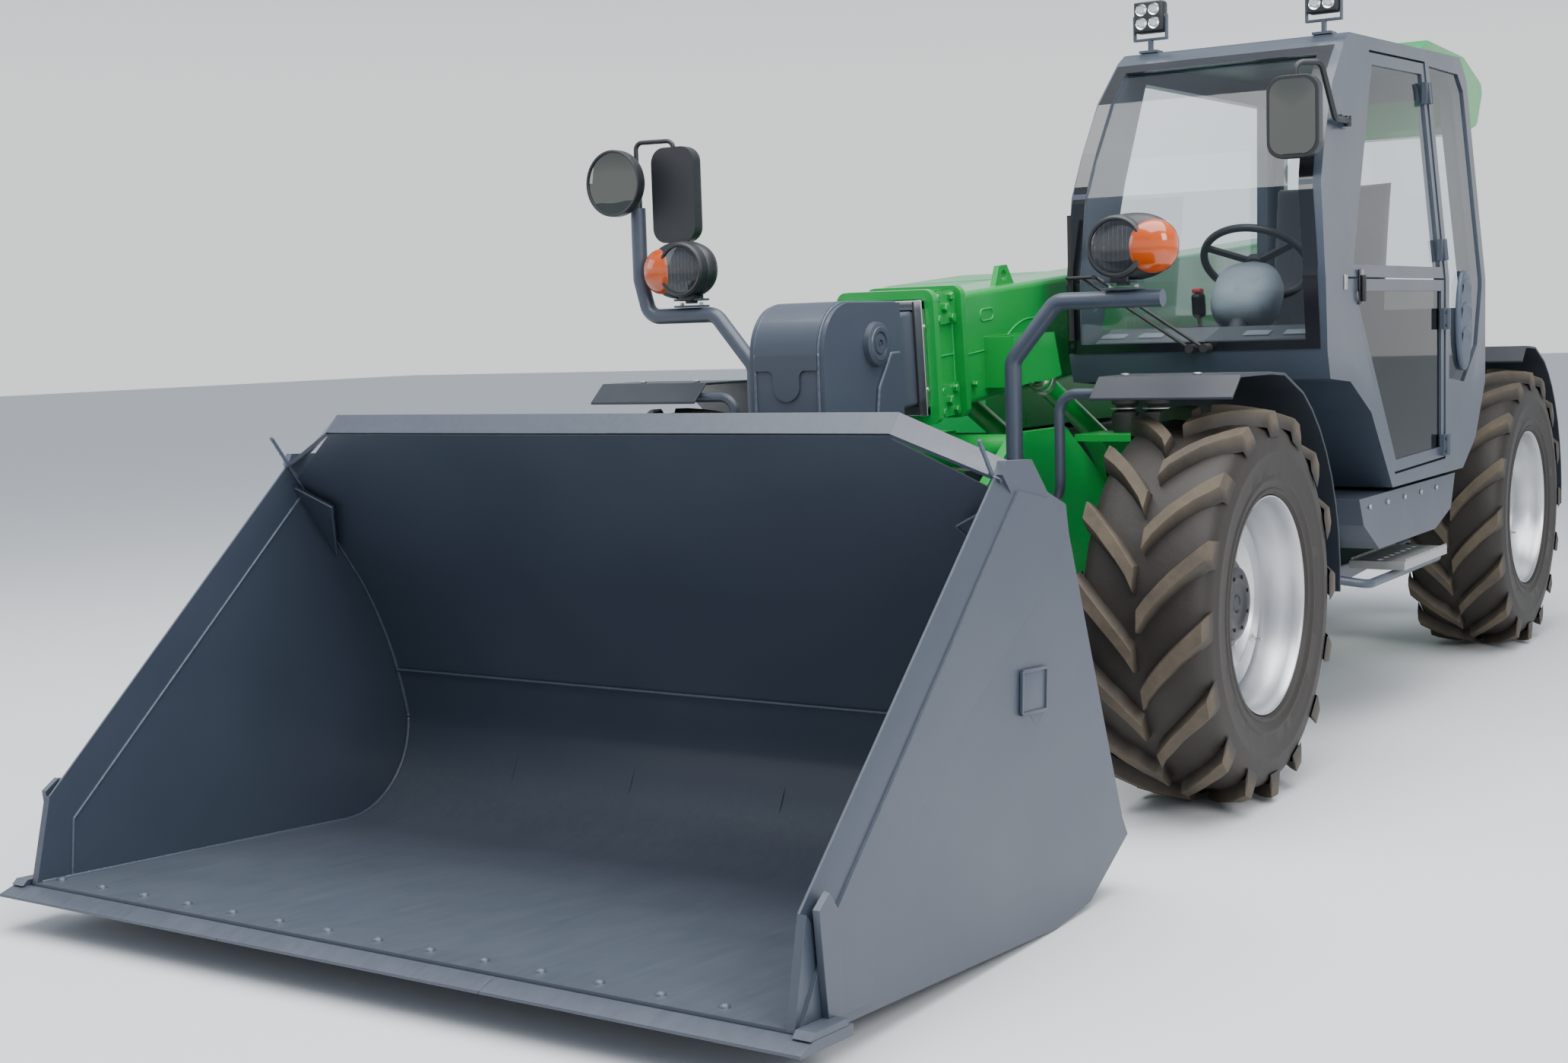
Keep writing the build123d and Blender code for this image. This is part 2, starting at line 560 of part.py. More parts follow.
def lift_barrel():
    body = barrel(LIFT_BARREL_R, 44, 70, 24 + PIN_CLEAR, LIFT_BARREL_L)
    body -= Pos(0, 0, 90) * Cylinder(LIFT_ROD_R + PIN_CLEAR, LIFT_BARREL_L, align=STANDING)
    return [Pos(x, 0, 0) * (aim(LIFT_BASE, LIFT_EYE) * body) for x in (LIFT_X, -LIFT_X)]


def lift_rod():
    body = piston(LIFT_ROD_R, 30, 46, 20, LIFT_LENGTH, LIFT_LENGTH - 150)
    return [Pos(x, 0, 0) * (aim(LIFT_BASE, LIFT_EYE) * body) for x in (LIFT_X, -LIFT_X)]


def tilt_barrel():
    body = barrel(TILT_BARREL_R, 46, 90, TILT_ROD_R + PIN_CLEAR, TILT_BARREL_L)
    body -= Pos(0, 0, 60) * Cylinder(TILT_ROD_R + PIN_CLEAR, TILT_BARREL_L, align=STANDING)
    return aim(TILT_BASE, TILT_EYE) * body


def tilt_rod():
    return aim(TILT_BASE, TILT_EYE) * piston(TILT_ROD_R, 40, 60, 26, TILT_LENGTH, TILT_LENGTH - 165)


# ---- bucket
def in_bucket(solid):
    """Places a piece drawn in the bucket's level frame, with y = -u and z = v."""
    return Pos(0, HEEL_Y, HEEL_Z) * Rot(-BUCKET_TILT, 0, 0) * solid


def uv(*points):
    """Turns (u, v) points of the bucket's frame into its (y, z) points."""
    return [(-u, v) for u, v in points]


FLOOR_TOP = BLADE_T + SHELL_T
FLOOR_FRONT = 1176.0
BACK_TOP = (386.0, 1198.0)
EDGE_TOP = (314.0, 1108.0)
EDGE_KNEE = (1137.0, 253.0)


def bucket_shell():
    """The rolled floor and back: one sheet, closed below the back by a box that stiffens it."""
    mid = SHELL_T / 2
    points = [Vector(-u, v) for u, v in ((FLOOR_FRONT, FLOOR_TOP - mid), (90, FLOOR_TOP - mid), (-128, 132),
                                         (-186, 320), (-78, 600), (26, 765), BACK_TOP)]
    path = Polyline(points[0], points[1]) + ThreePointArc(points[1], points[2], points[3])
    path = path + ThreePointArc(points[3], points[4], points[5]) + Line(points[5], points[6])
    sheet = trace(path, line_width=SHELL_T)
    inner_x = SIDE_X - SIDE_T - 0.2
    shell = extrude(Plane.YZ.offset(-inner_x) * sheet, amount=2 * inner_x, dir=(1, 0, 0))
    shoulder = prism_y([(LIP_HALF, BACK_TOP[1] + 60), (SIDE_X + 60, BACK_TOP[1] + 60), (SIDE_X + 60, 1035),
                        (inner_x, 1065), (LIP_HALF, BACK_TOP[1] - 8)], -700, 0)
    shell -= shoulder + mirrored(shoulder)
    box = prism_x(uv((-100, 24), (-200, 30), (-400, 170), (-395, 185), (-190, 40), (-100, 34)), -inner_x,
                  inner_x)
    back = prism_x(uv((-400, 170), (-392, 212), (-300, 440), (-290, 436), (-382, 208), (-390, 176)),
                   -inner_x, inner_x)
    ribs = prism_x(uv((-200, 30), (-400, 170), (-392, 212), (-300, 440), (-150, 560), (-200, 300),
                      (-130, 130)),
                   -8, 8)
    shell += box + back
    for x in (-700, -260, 260, 700):
        shell += Pos(x, 0, 0) * ribs
    hook = prism_x([(-1070, 240), (-1140, 500), (-1170, 592), (-1395, 690), (-1350, 602), (-1263, 312),
                    (-1150, 405),
                    (-1090, 215)], 300, 330)
    return in_bucket(shell) + hook + mirrored(hook)


def side_plate():
    seat = BLADE_T + 0.2
    outline = uv((FLOOR_FRONT, seat), (1035, seat), (1035, 2), (0, 0), (-200, 30), (-427, 166), (-392, 214),
                 (-45, 962), (-25, 1035), (78, 1066), (164, 1143), (300, 1140), EDGE_TOP, EDGE_KNEE,
                 (FLOOR_FRONT, FLOOR_TOP))
    plate = prism_x(outline, SIDE_X - SIDE_T, SIDE_X)
    ux, vx = EDGE_KNEE[0] - EDGE_TOP[0], EDGE_KNEE[1] - EDGE_TOP[1]
    run = hypot(ux, vx)
    depth = SIDE_T - 6
    wedge_profile = [(SIDE_X + 1, 0.0), (SIDE_X - depth, 0.0), (SIDE_X + 1, -EDGE_BAND - 4)]
    along = Vector(0, -ux / run, vx / run)
    frame = Plane(origin=(0, -EDGE_TOP[0], EDGE_TOP[1]), x_dir=(1, 0, 0), z_dir=along)
    sign = 1 if frame.y_dir.dot(Vector(0, -1, 1)) > 0 else -1
    wedge = extrude(frame * Polygon(*[(x, sign * d) for x, d in wedge_profile], align=None),
                    amount=run, dir=tuple(along))
    plate -= wedge
    overlay = uv((0, 960), (140, 812), (555, 520), (864, 250), (900, BLADE_T + 1),
                 (FLOOR_FRONT - 12, BLADE_T + 1), (1050, 226), (240, 1070), (80, 1050))
    return plate + prism_x(overlay, SIDE_X - 1, SIDE_X + 7)


def bucket_sides():
    plaque = fillet((Box(8, 165, 100)).edges().filter_by(Axis.X), 16)
    plaque = Pos(SIDE_X + 3, -150, 598) * Rot(-40, 0, 0) * plaque
    return both_sides(in_bucket(side_plate() + plaque))


def bucket_lip():
    """The inclined flange that stiffens the bucket's top edge, with its two sloping shoulders."""
    u, v = BACK_TOP
    du, dv = -0.72 * LIP_W, 0.72 * LIP_W
    half = LIP_HALF + 1
    strip = prism_x(uv((u + 5, v + 3), (u - 4, v + 3), (u - 4 + du, v + dv), (u + 5 + du, v + dv + 9)),
                    -half, half)
    inner_x = SIDE_X - SIDE_T
    wall = SHELL_T
    front = [Vector(LIP_HALF, -u - 5, v + 3), Vector(inner_x + 16, -EDGE_TOP[0] - 4, EDGE_TOP[1] - 10)]
    back = [Vector(LIP_HALF, -u - 5 - du, v + dv + 9),
            Vector(inner_x + 16, -EDGE_TOP[0] + 74, EDGE_TOP[1] + 26)]
    quad = [front[0], front[1], back[1], back[0]]
    low = [p + Vector(0, 7, -wall) for p in quad]
    faces = [Face(Wire.make_polygon([quad[0], quad[1], quad[2]])),
             Face(Wire.make_polygon([quad[0], quad[2], quad[3]])),
             Face(Wire.make_polygon([low[0], low[1], low[2]])),
             Face(Wire.make_polygon([low[0], low[2], low[3]]))]
    for i in range(4):
        j = (i + 1) % 4
        faces.append(Face(Wire.make_polygon([quad[i], quad[j], low[j]])))
        faces.append(Face(Wire.make_polygon([quad[i], low[j], low[i]])))
    shoulder = Solid(Shell(faces))
    return in_bucket(strip), in_bucket(shoulder), mirrored(in_bucket(shoulder))


def corner_gussets():
    """Small pyramids that brace the bucket's upper corners on the inside."""
    x = SIDE_X - SIDE_T - 0.3
    top, low, front = Vector(x, -300, 1050), Vector(x, -120, 830), Vector(x - 130, -262, 985)
    foot = Vector(x, -118, 1000)
    faces = [Face(Wire.make_polygon([Vector(*a), Vector(*b), Vector(*c)]))
             for a, b, c in ((top, low, front), (top, front, foot), (low, foot, front), (top, foot, low))]
    return both_sides(in_bucket(Solid(Shell(faces))))


def cutting_edge():
    """The blade in three lengths, bevelled at its front, and the side cutters on the plates."""
    tip = 1236.0
    outline = uv((tip, 0), (tip, 7), (tip - 46, BLADE_T - 0.2), (1040, BLADE_T - 0.2), (1040, 0))
    third = 2 * BLADE_HALF / 3
    out = [prism_x(outline, -BLADE_HALF + i * third + (0 if i == 0 else 1), -BLADE_HALF + (i + 1) * third)
           for i in range(3)]
    cutter = uv((1087, 32), (1128, 262), (1088, 292), (1040, 235), (1040, 32))
    cutter = prism_x(cutter, SIDE_X + 7.2, SIDE_X + 24)
    corner = prism_x(uv((1060, BLADE_T), (1060, 40), (1185, 40), (1200, BLADE_T)), SIDE_X + 7.2, BLADE_HALF)
    return [in_bucket(s) for s in out + both_sides(cutter) + both_sides(corner)]


def edge_bolts():
    """Domed bolts through the floor that hold the blade."""
    first = 44.0 - SIDE_X
    pitch = -2 * first / (BOLT_COUNT - 1)
    dome = Sphere(BOLT_R * 1.25) & Pos(0, 0, BOLT_R) * Box(4 * BOLT_R, 4 * BOLT_R, 2 * BOLT_R * 0.8)
    dome = Pos(0, 0, -BOLT_R * 0.2) * dome
    return [in_bucket(Pos(first + i * pitch, -1120, FLOOR_TOP + 0.1) * dome) for i in range(BOLT_COUNT)]


def hitch():
    """The carriage between the boom's head and the bucket, with the tilt cylinder's ears."""
    y, z = BUCKET_PIN
    ear = [(y - 75, z + 75), (y + 55, z + 50), (y + 75, z - 30), (y + 30, z - 75), (y - 75, z - 75),
           (-985, 170),
           (-1060, 240), (-1130, 500), (-990, 500)]
    x0 = HEAD_W / 2 + 14
    cheek = prism_x(ear, x0, x0 + 28)
    body = cheek + mirrored(cheek)
    body += cross_pin(y, z, BUCKET_PIN_R, -x0 - 42, x0 + 42)
    body += prism_x([(-1062, 240), (-1132, 500), (-1164, 590), (-1136, 600), (-1104, 508), (-1034, 248)],
                    -460, 460)
    top_y, top_z = TILT_EYE
    lug = [(top_y - 42, top_z + 20), (top_y, top_z + 44), (top_y + 42, top_z + 10), (top_y + 30, top_z - 42),
           (-1034, 300), (-1110, 500)]
    plate = prism_x(lug, 36, 56)
    body += plate + mirrored(plate)
    return body


# ---- cab
def cab_side(inset):
    """The cab's outline seen from its side, pulled in by a distance all round."""
    outline = [(622, 1352), (606, 1600), (655, 1900), (735, 2040), (880, 2240), (1060, 2395), (1120, 2428),
               (2560, CAB_ROOF_Z + 38), (CAB_REAR, 2390), (CAB_REAR, 1180), (2480, 960), (2290, CAB_FLOOR_Z),
               (1340, CAB_FLOOR_Z), (1090, 1130), (860, 1245), (650, 1262)]
    face = Polygon(*outline, align=None)
    if inset:
        face = offset(face, amount=-inset, kind=Kind.INTERSECTION)
    return extrude(Plane.YZ * face, amount=1600, dir=(1, 0, 0))


def cab_front(inset):
    """The cab's outline seen from its front: upright to the belt, then leaning in."""
    outline = [(CAB_X[0], CAB_FLOOR_Z - 100), (CAB_X[1], CAB_FLOOR_Z - 100), (CAB_X[1], CAB_BELT_Z),
               (CAB_ROOF_X[1], CAB_ROOF_Z + 200), (CAB_ROOF_X[0], CAB_ROOF_Z + 200), (CAB_X[0], CAB_BELT_Z)]
    face = Polygon(*outline, align=None)
    if inset:
        face = offset(face, amount=-inset, kind=Kind.INTERSECTION)
    return extrude(Plane.XZ * face, amount=6000, both=True)


def cab_hull(inset=0.0):
    return cab_side(inset) & cab_front(inset)


DOOR = [(836, CAB_BELT_Z), (1330, 2388), (2035, 2412), (2035, CAB_BELT_Z), (2035, 905), (1372, 895)]
QUARTER = [(2085, 1210), (2085, 2400), (2500, 2405), (2560, 2340), (2570, 1560), (2500, 1330), (2300, 1190)]
SCREEN = [(300, 1392), (1098, 1392), (1092, 1640), (1012, 2352), (316, 2352), (306, 1640)]
SIDE_WINDOW = [(800, 1440), (1010, 1960), (1210, 2330), (2500, 2340), (2500, 1440)]
REAR_WINDOW = [(340, 1480), (1080, 1480), (990, 2330), (350, 2330)]


def through(outline, axis):
    """The space behind an opening's outline, right through one wall of the cab."""
    if axis == "left":
        return prism_x(outline, 800, 1400)
    if axis == "right":
        return prism_x(outline, 100, 420)
    if axis == "front":
        return prism_y(outline, 300, 1075)
    return prism_y(outline, CAB_REAR - 120, CAB_REAR + 100)


def inset_prism(outline, by, axis):
    face = offset(Polygon(*outline, align=None), amount=-by, kind=Kind.INTERSECTION)
    if axis == "left":
        return extrude(Plane.YZ.offset(800) * face, amount=600, dir=(1, 0, 0))
    if axis == "right":
        return extrude(Plane.YZ.offset(100) * face, amount=320, dir=(1, 0, 0))
    if axis == "front":
        return extrude(Plane.XZ.offset(-300) * face, amount=775, dir=(0, 1, 0))
    return extrude(Plane.XZ.offset(120 - CAB_REAR) * face, amount=220, dir=(0, 1, 0))


def cab_shell():
    """The welded cab frame: floor, pillars, roof and lower panels, open where glass or the door sits."""
    shell = cab_hull() - cab_hull(CAB_WALL)
    for outline, axis in ((DOOR, "left"), (QUARTER, "left"), (SCREEN, "front"), (SIDE_WINDOW, "right"),
                          (REAR_WINDOW, "rear")):
        shell -= through(outline, axis)
    boss = block(1100, 1130, 902, 948, 2088, 2132)
    return shell + boss


def cab_glass():
    """The fixed panes, each set a little inside its opening."""
    skin = cab_hull(8) - cab_hull(8 + GLASS_T)
    out = []
    for outline, axis in ((QUARTER, "left"), (SCREEN, "front"), (SIDE_WINDOW, "right"),
                          (REAR_WINDOW, "rear")):
        out += (skin & inset_prism(outline, 0.4, axis)).solids()
    return out


def skin_x(z):
    """How far out the cab's left skin stands at a height: upright to the belt, then leaning in."""
    lean = (CAB_X[1] - CAB_ROOF_X[1]) / (CAB_ROOF_Z + 200 - CAB_BELT_Z)
    return CAB_X[1] - max(0.0, z - CAB_BELT_Z) * lean


def door_half(upper, d0, d1, margin):
    """One half of the door between two depths below the cab's skin; the halves meet at the belt."""
    z0, z1 = (CAB_BELT_Z + 3, 2600) if upper else (700, CAB_BELT_Z - 3)
    leaf = (cab_hull(d0) - cab_hull(d1)) & inset_prism(DOOR, DOOR_GAP + margin, "left")
    return leaf & block(900, 1300, 600, 2700, z0 + margin * 0.999, z1 - margin * 0.999)


def door_frame(upper):
    frame = door_half(upper, 4, 32, 0) - door_half(upper, 0, 60, DOOR_FRAME)
    hinge_y = DOOR[3][0] - 22
    for z in ((1700, 2290) if upper else (960, 1440)):
        x = skin_x(z)
        frame += block(x - 6, x + 12, hinge_y - 40, hinge_y - 4, z - 40, z + 40)
        frame += rod((skin_x(z - 40) + 13, hinge_y, z - 40), (skin_x(z + 40) + 13, hinge_y, z + 40), HINGE_R)
    return frame


def door_glass(upper):
    return door_half(upper, 12, 12 + GLASS_T, DOOR_FRAME + 0.3)


def vent_louvre():
    """The moulded air intake on the cab's rear side panel."""
    oval = Plane.YZ.offset(CAB_X[1] - 7.8) * (Pos(2290, 1430) * Ellipse(96, 195))
    leaf = extrude(oval, amount=20, dir=(1, 0, 0))
    return fillet(leaf.edges().sort_by(Axis.X)[-1], 12)


def roof_cap():
    """The moulded cowl over the roof's rear, which holds the air filters."""
    side = [(2180, 2470), (2330, 2530), (2860, 2515), (3180, 2420), (3080, 2250), (2860, 2195),
            (CAB_REAR + 1, 2185), (CAB_REAR + 1, 2470)]
    cap = prism_x(side, CAB_ROOF_X[0] + 40, CAB_ROOF_X[1] - 45)
    cap -= prism_x([(2100, 2300), (2100, 2468), (2561, CAB_ROOF_Z + 40), (CAB_REAR + 1, 2393),
                    (CAB_REAR + 1, 2300)],
                   0, 1400)
    return fillet(cap.edges().filter_by(Axis.X).filter_by(lambda e: e.center().Y > 2800), 45)


def console():
    """The dashboard across the front of the cab, with the steering column standing behind it."""
    dash = prism_x([(714, 1334), (714, 1395), (860, 1440), (960, 1400), (960, 1275), (880, 1315)], 310, 1110)
    column = rod((700, 985, 1330), (700, 1250, 1650), 34)
    shroud = Pos(700, 1165, 1540) * Rot(-40, 0, 0) * Box(190, 120, 190)
    shroud = fillet(shroud.edges(), 30)
    side_box = block(310, 450, 1390, 2100, CAB_FLOOR_Z + CAB_WALL + 4, 1350, 20)
    boot = Pos(400, 1480, 1349) * Cone(44, 24, 36, align=STANDING)
    return dash + column + shroud + side_box + boot


def steering_wheel():
    """The rim, three spokes and hub, square to the raked column."""
    place = Plane(origin=(700, 1262, 1664.5), x_dir=(1, 0, 0), z_dir=(0, 265, 320))
    ring = Torus(STEER_RING_R, 14)
    hub = Cylinder(36, 24)
    spokes = [Rot(0, 0, a) * Pos(STEER_RING_R / 2, 0, 0) * Box(STEER_RING_R, 26, 12) for a in (90, 210, 330)]
    wheel = ring + hub
    for spoke in spokes:
        wheel += spoke
    return place * wheel


def seat():
    """The suspended driver's seat: cushion, back and armrest."""
    x0, x1 = 700 - SEAT_W / 2, 700 + SEAT_W / 2
    cushion = block(x0, x1, 1480, 1980, 1200, 1330, 40)
    back = prism_x([(1960, 1290), (2090, 1290), (2200, 1960), (2110, 1990)], x0 + 20, x1 - 20)
    back = fillet(back.edges(), 30)
    base = block(x0 + 60, x1 - 60, 1540, 1940, 960, 1200, 20)
    return cushion + back + base


def seat_rails():
    return [block(x, x + 40, 1450, 2030, CAB_FLOOR_Z + CAB_WALL + 0.5, 959.5) for x in (540, 820)]


def joystick():
    """The boom lever on the side console."""
    stem = rod((400, 1478, 1396), (400, 1465, 1500), 9) + cross_pin(1478, 1397, 10, 386, 414)
    grip = Pos(400, 1462, 1520) * Rot(8, 0, 0) * Box(46, 52, 96)
    return stem + fillet(grip.edges(), 18)


# ---- wiper: a parallel linkage whose blade stays upright
SCREEN_FOOT = Vector(720, 590, 1372)
WIPER_PIVOTS = (45.0, -5.0)
WIPER_REACH = (-385.0, 250.0)
WIPER_LIFT = 16.0
BLADE_LENGTH = 430.0


def wiper_frame():
    """The plane the wiper sweeps in: x across the screen, y up it, z out of it."""
    return Plane(origin=SCREEN_FOOT, x_dir=(1, 0, 0), z_dir=(0, -1, 0))


def wiper_arm(pivot_x):
    """One arm of the pair, from its spindle to the blade's link."""
    arm = rod((pivot_x, 0, WIPER_LIFT), (pivot_x + WIPER_REACH[0], WIPER_REACH[1], WIPER_LIFT), 6)
    hub = Pos(pivot_x, 0, -29) * Cylinder(15, WIPER_LIFT + 35.5, align=STANDING)
    return wiper_frame() * (arm + hub)


def wiper_blade():
    """The blade on its link; it is carried by the tips of both arms."""
    x0, x1, y = WIPER_PIVOTS[0] + WIPER_REACH[0], WIPER_PIVOTS[1] + WIPER_REACH[0] - 52, WIPER_REACH[1]
    link = rod((x0, y, WIPER_LIFT + 13), (x1, y, WIPER_LIFT + 13), 6)
    pin = rod((x0, y, WIPER_LIFT + 6.5), (x0, y, WIPER_LIFT + 21), 8)
    post = rod((x1, y, 0), (x1, y, WIPER_LIFT + 14), 6)
    blade = Pos(x1, y, 0) * Box(12, BLADE_LENGTH, 18)
    return wiper_frame() * (link + pin + post + blade)


# ---- small pieces
def work_lamp(x, y):
    """A square lamp in a bracket on the roof's front edge, with a stub at each side to tilt on."""
    z = 2560
    case = Pos(x, y, z) * Box(112, 58, 112)
    case = fillet(case.edges().filter_by(Axis.Y), 16) + cross_pin(y, z, 9, x - 57.5, x + 57.5)
    fins = [Pos(x, y + 38, z - 40 + i * 20) * Box(92, 20, 6) for i in range(5)]
    for fin in fins:
        case += fin
    return case


def roof_fittings():
    """The brackets that hold the work lamps on the roof's front edge."""
    out = []
    for x in (352, 990):
        foot = block(x - 34, x + 34, 1118, 1180, 2431, 2440)
        post = block(x - 6, x + 6, 1135, 1160, 2439, 2478)
        bar = block(x - 62, x + 62, 1138, 1158, 2477, 2485)
        ears = block(x - 64, x - 58, 1138, 1158, 2477, 2567) + block(x + 58, x + 64, 1138, 1158, 2477, 2567)
        out.append(foot + post + bar + ears)
    return out


def rubber_mounts():
    """Stacked rubber isolators between the frame's shelves and the cab."""
    front = [Pos(x, 690, 1085.4) * Cylinder(46, 167, align=STANDING) for x in (430, 548)]
    rear = [Pos(x, 2290, 800.4) * Cylinder(46, 49, align=STANDING) for x in (430, 900)]
    return front + rear


def body_bolts():
    """Round-headed screws in the fenders and the sill."""
    out = []
    for x in (FENDER_X[0] + 70, FENDER_X[1] - 150):
        head = Pos(x, -150, FENDER_TOP + 0.2) * Cylinder(13, 7, align=STANDING)
        out += both_sides(head)
    for i in range(5):
        out.append(cross_pin(1120 + i * 210, 800, 9, 1150.2, 1158))
    return out


def trimmed(piece, *others):
    """A welded piece cut back to where it meets the pieces it is welded to."""
    for other in others:
        piece = piece - other
    return piece


def build():
    shell, sides, head = bucket_shell(), bucket_sides(), boom_head()
    lip = [trimmed(piece, shell, *sides) for piece in list(bucket_lip()) + corner_gussets()]
    nodes = {
        "chassis": [chassis()],
        "front_axle": [axle(FRONT)], "rear_axle": [axle(REAR)],
        "rear_body": [counterweight(), engine_bay()], "hood": [hood()],
        "sill": [sill()], "step": [step()], "fenders": fenders(),
        "tube_arms": fender_stays() + lamp_arms() + [step_tube()] + roof_fittings(),
        "body_bolts": body_bolts(),
        "headlamp_left": [headlamp(LAMP_X[0])], "headlamp_right": [mirrored(headlamp(LAMP_X[1]))],
        "round_mirror": [round_mirror()], "arm_mirror": [arm_mirror()], "door_mirror": [door_mirror()],
        "boom_outer": [boom_outer()], "boom_collar": [boom_collar()], "boom_wiper": [boom_wiper()],
        "boom_inner": [trimmed(boom_inner(), head)], "boom_head": [head],
        "lift_barrel": lift_barrel(), "lift_rod": lift_rod(),
        "tilt_barrel": [tilt_barrel()], "tilt_rod": [tilt_rod()],
        "hitch": [hitch()], "bucket_shell": [shell], "bucket_sides": sides,
        "bucket_lip": lip, "cutting_edge": cutting_edge(),
        "edge_bolts": edge_bolts(),
        "cab_shell": [cab_shell()], "cab_glass": cab_glass(), "vent_louvre": [vent_louvre()],
        "roof_cap": [roof_cap()], "console": [console()] + seat_rails(),
        "steering_wheel": [steering_wheel()],
        "seat": [seat()], "joystick": [joystick()],
        "door_lower": [door_frame(False)], "door_upper": [door_frame(True)],
        "door_glass_lower": [door_glass(False)], "door_glass_upper": [door_glass(True)],
        "wiper_arm": [wiper_arm(WIPER_PIVOTS[0])], "wiper_link": [wiper_arm(WIPER_PIVOTS[1])],
        "wiper_blade": [wiper_blade()],
        "work_lamp_left": [work_lamp(990, 1148)], "work_lamp_right": [work_lamp(352, 1148)],
        "rubber_mounts": rubber_mounts(),
    }
    corners = (("front_left", 1, FRONT), ("front_right", -1, FRONT), ("rear_left", 1, REAR),
               ("rear_right", -1, REAR))
    for name, side, axle_y in corners:
        nodes["tyre_" + name] = [tyre(side, axle_y)]
        nodes["rim_" + name] = [rim(side, axle_y)]
        nodes["knuckle_" + name] = [knuckle(side, axle_y)]
    return nodes


def write(nodes):
    """Moves every piece so that the origin is under the machine's middle, and saves each node."""
    os.makedirs(OUT, exist_ok=True)
    solids = {name: [s for shape in shapes for s in shape.solids()] for name, shapes in nodes.items()}
    whole = Compound([s for group in solids.values() for s in group]).bounding_box()
    shift = -(whole.min.Y + whole.max.Y) / 2
    print("origin shift y", round(shift, 3), "low z", round(whole.min.Z, 3), "x", round(whole.min.X, 2),
          round(whole.max.X, 2), "y", round(whole.min.Y, 2), round(whole.max.Y, 2), "top",
          round(whole.max.Z, 2))
    for name, group in solids.items():
        moved = [s.moved(Location((0, shift, 0))) for s in group]
        export_step(moved[0] if len(moved) == 1 else Compound(moved), os.path.join(OUT, name + ".step"))
    return shift


SHIFT = write(build())
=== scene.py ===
import json
from math import atan2, cos, hypot, pi, radians, sin

import bmesh
import bpy
from mathutils import Matrix, Vector, noise

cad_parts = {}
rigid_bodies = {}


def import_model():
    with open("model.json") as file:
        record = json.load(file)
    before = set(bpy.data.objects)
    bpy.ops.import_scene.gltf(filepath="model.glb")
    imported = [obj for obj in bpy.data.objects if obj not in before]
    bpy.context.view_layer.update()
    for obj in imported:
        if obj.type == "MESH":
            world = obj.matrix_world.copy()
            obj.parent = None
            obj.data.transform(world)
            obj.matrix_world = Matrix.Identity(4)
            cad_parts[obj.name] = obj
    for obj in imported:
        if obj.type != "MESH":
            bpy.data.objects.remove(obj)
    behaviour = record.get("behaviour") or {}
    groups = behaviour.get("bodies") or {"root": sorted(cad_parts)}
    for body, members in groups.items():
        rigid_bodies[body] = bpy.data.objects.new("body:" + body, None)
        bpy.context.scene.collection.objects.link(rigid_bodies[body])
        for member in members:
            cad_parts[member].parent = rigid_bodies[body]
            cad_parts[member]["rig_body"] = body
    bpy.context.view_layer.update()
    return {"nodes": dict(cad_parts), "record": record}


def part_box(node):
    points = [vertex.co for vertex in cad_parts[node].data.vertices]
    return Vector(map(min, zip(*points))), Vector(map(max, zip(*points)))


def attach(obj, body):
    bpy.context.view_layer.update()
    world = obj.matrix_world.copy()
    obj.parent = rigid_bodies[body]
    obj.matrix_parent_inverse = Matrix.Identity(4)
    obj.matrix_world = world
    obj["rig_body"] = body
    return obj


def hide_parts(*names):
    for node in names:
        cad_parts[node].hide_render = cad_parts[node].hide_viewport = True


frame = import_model()

# ==== camera ====
# A person standing off the machine's front left corner, with the bucket filling the foreground.
# Every place in this script is measured along the machine from the front axle's line.
axle_low, axle_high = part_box("front_axle")
AXLE_Y = (axle_low.y + axle_high.y) / 2


def at(x, y, z):
    """A place measured from the point on the ground below the front axle's middle."""
    return Vector((x, AXLE_Y + y, z))


AXLE_FRAME = Matrix.Translation(at(0, 0, 0))
LENS_MM, SENSOR_MM, FAR_CLIP = 46.04, 36.0, 200.0
EYE = at(3.2559, -5.8059, 1.4748)
TURN, TIP, LEAN = 0.58053, -0.09985, 0.03169
viewpoint = bpy.data.objects.new("viewpoint", bpy.data.cameras.new("viewpoint"))
bpy.context.scene.collection.objects.link(viewpoint)
viewpoint.data.lens = LENS_MM
viewpoint.data.sensor_width = SENSOR_MM
viewpoint.data.clip_end = FAR_CLIP
turned_left = Matrix.Rotation(TURN, 4, "Z")
tipped_down = Matrix.Rotation(TIP, 4, "X")
leaning = Matrix.Rotation(LEAN, 4, "Y")
upright = Matrix.Rotation(pi / 2, 4, "X")
viewpoint.matrix_world = Matrix.Translation(EYE) @ turned_left @ tipped_down @ leaning @ upright
bpy.context.scene.camera = viewpoint

# ==== shop floor and lights ====
# A pale seamless floor under a wide overhead softbox, with a large key panel by the bucket's
# left corner and a weaker one on the other side, as in a showroom.
FLOOR_HALF = 60.0


def mesh_object(name, points, faces, material=None, smooth=True):
    """A new mesh object from its points and faces."""
    mesh = bpy.data.meshes.new(name)
    mesh.from_pydata([tuple(p) for p in points], [], faces)
    mesh.update()
    mesh.polygons.foreach_set("use_smooth", [smooth] * len(mesh.polygons))
    piece = bpy.data.objects.new(name, mesh)
    bpy.context.scene.collection.objects.link(piece)
    if material:
        mesh.materials.append(material)
    return piece


def principled(name, colour, roughness, metallic=0.0, coat=0.0, **sockets):
    """A new material with its Principled shader set; returns the material, its nodes, links and shader."""
    material = bpy.data.materials.new(name)
    material.use_nodes = True
    nodes, links = material.node_tree.nodes, material.node_tree.links
    shader = nodes["Principled BSDF"]
    shader.inputs["Base Color"].default_value = (*colour, 1.0)
    shader.inputs["Roughness"].default_value = roughness
    shader.inputs["Metallic"].default_value = metallic
    shader.inputs["Coat Weight"].default_value = coat
    for socket, value in sockets.items():
        shader.inputs[socket.replace("_", " ")].default_value = value
    return material, nodes, links, shader


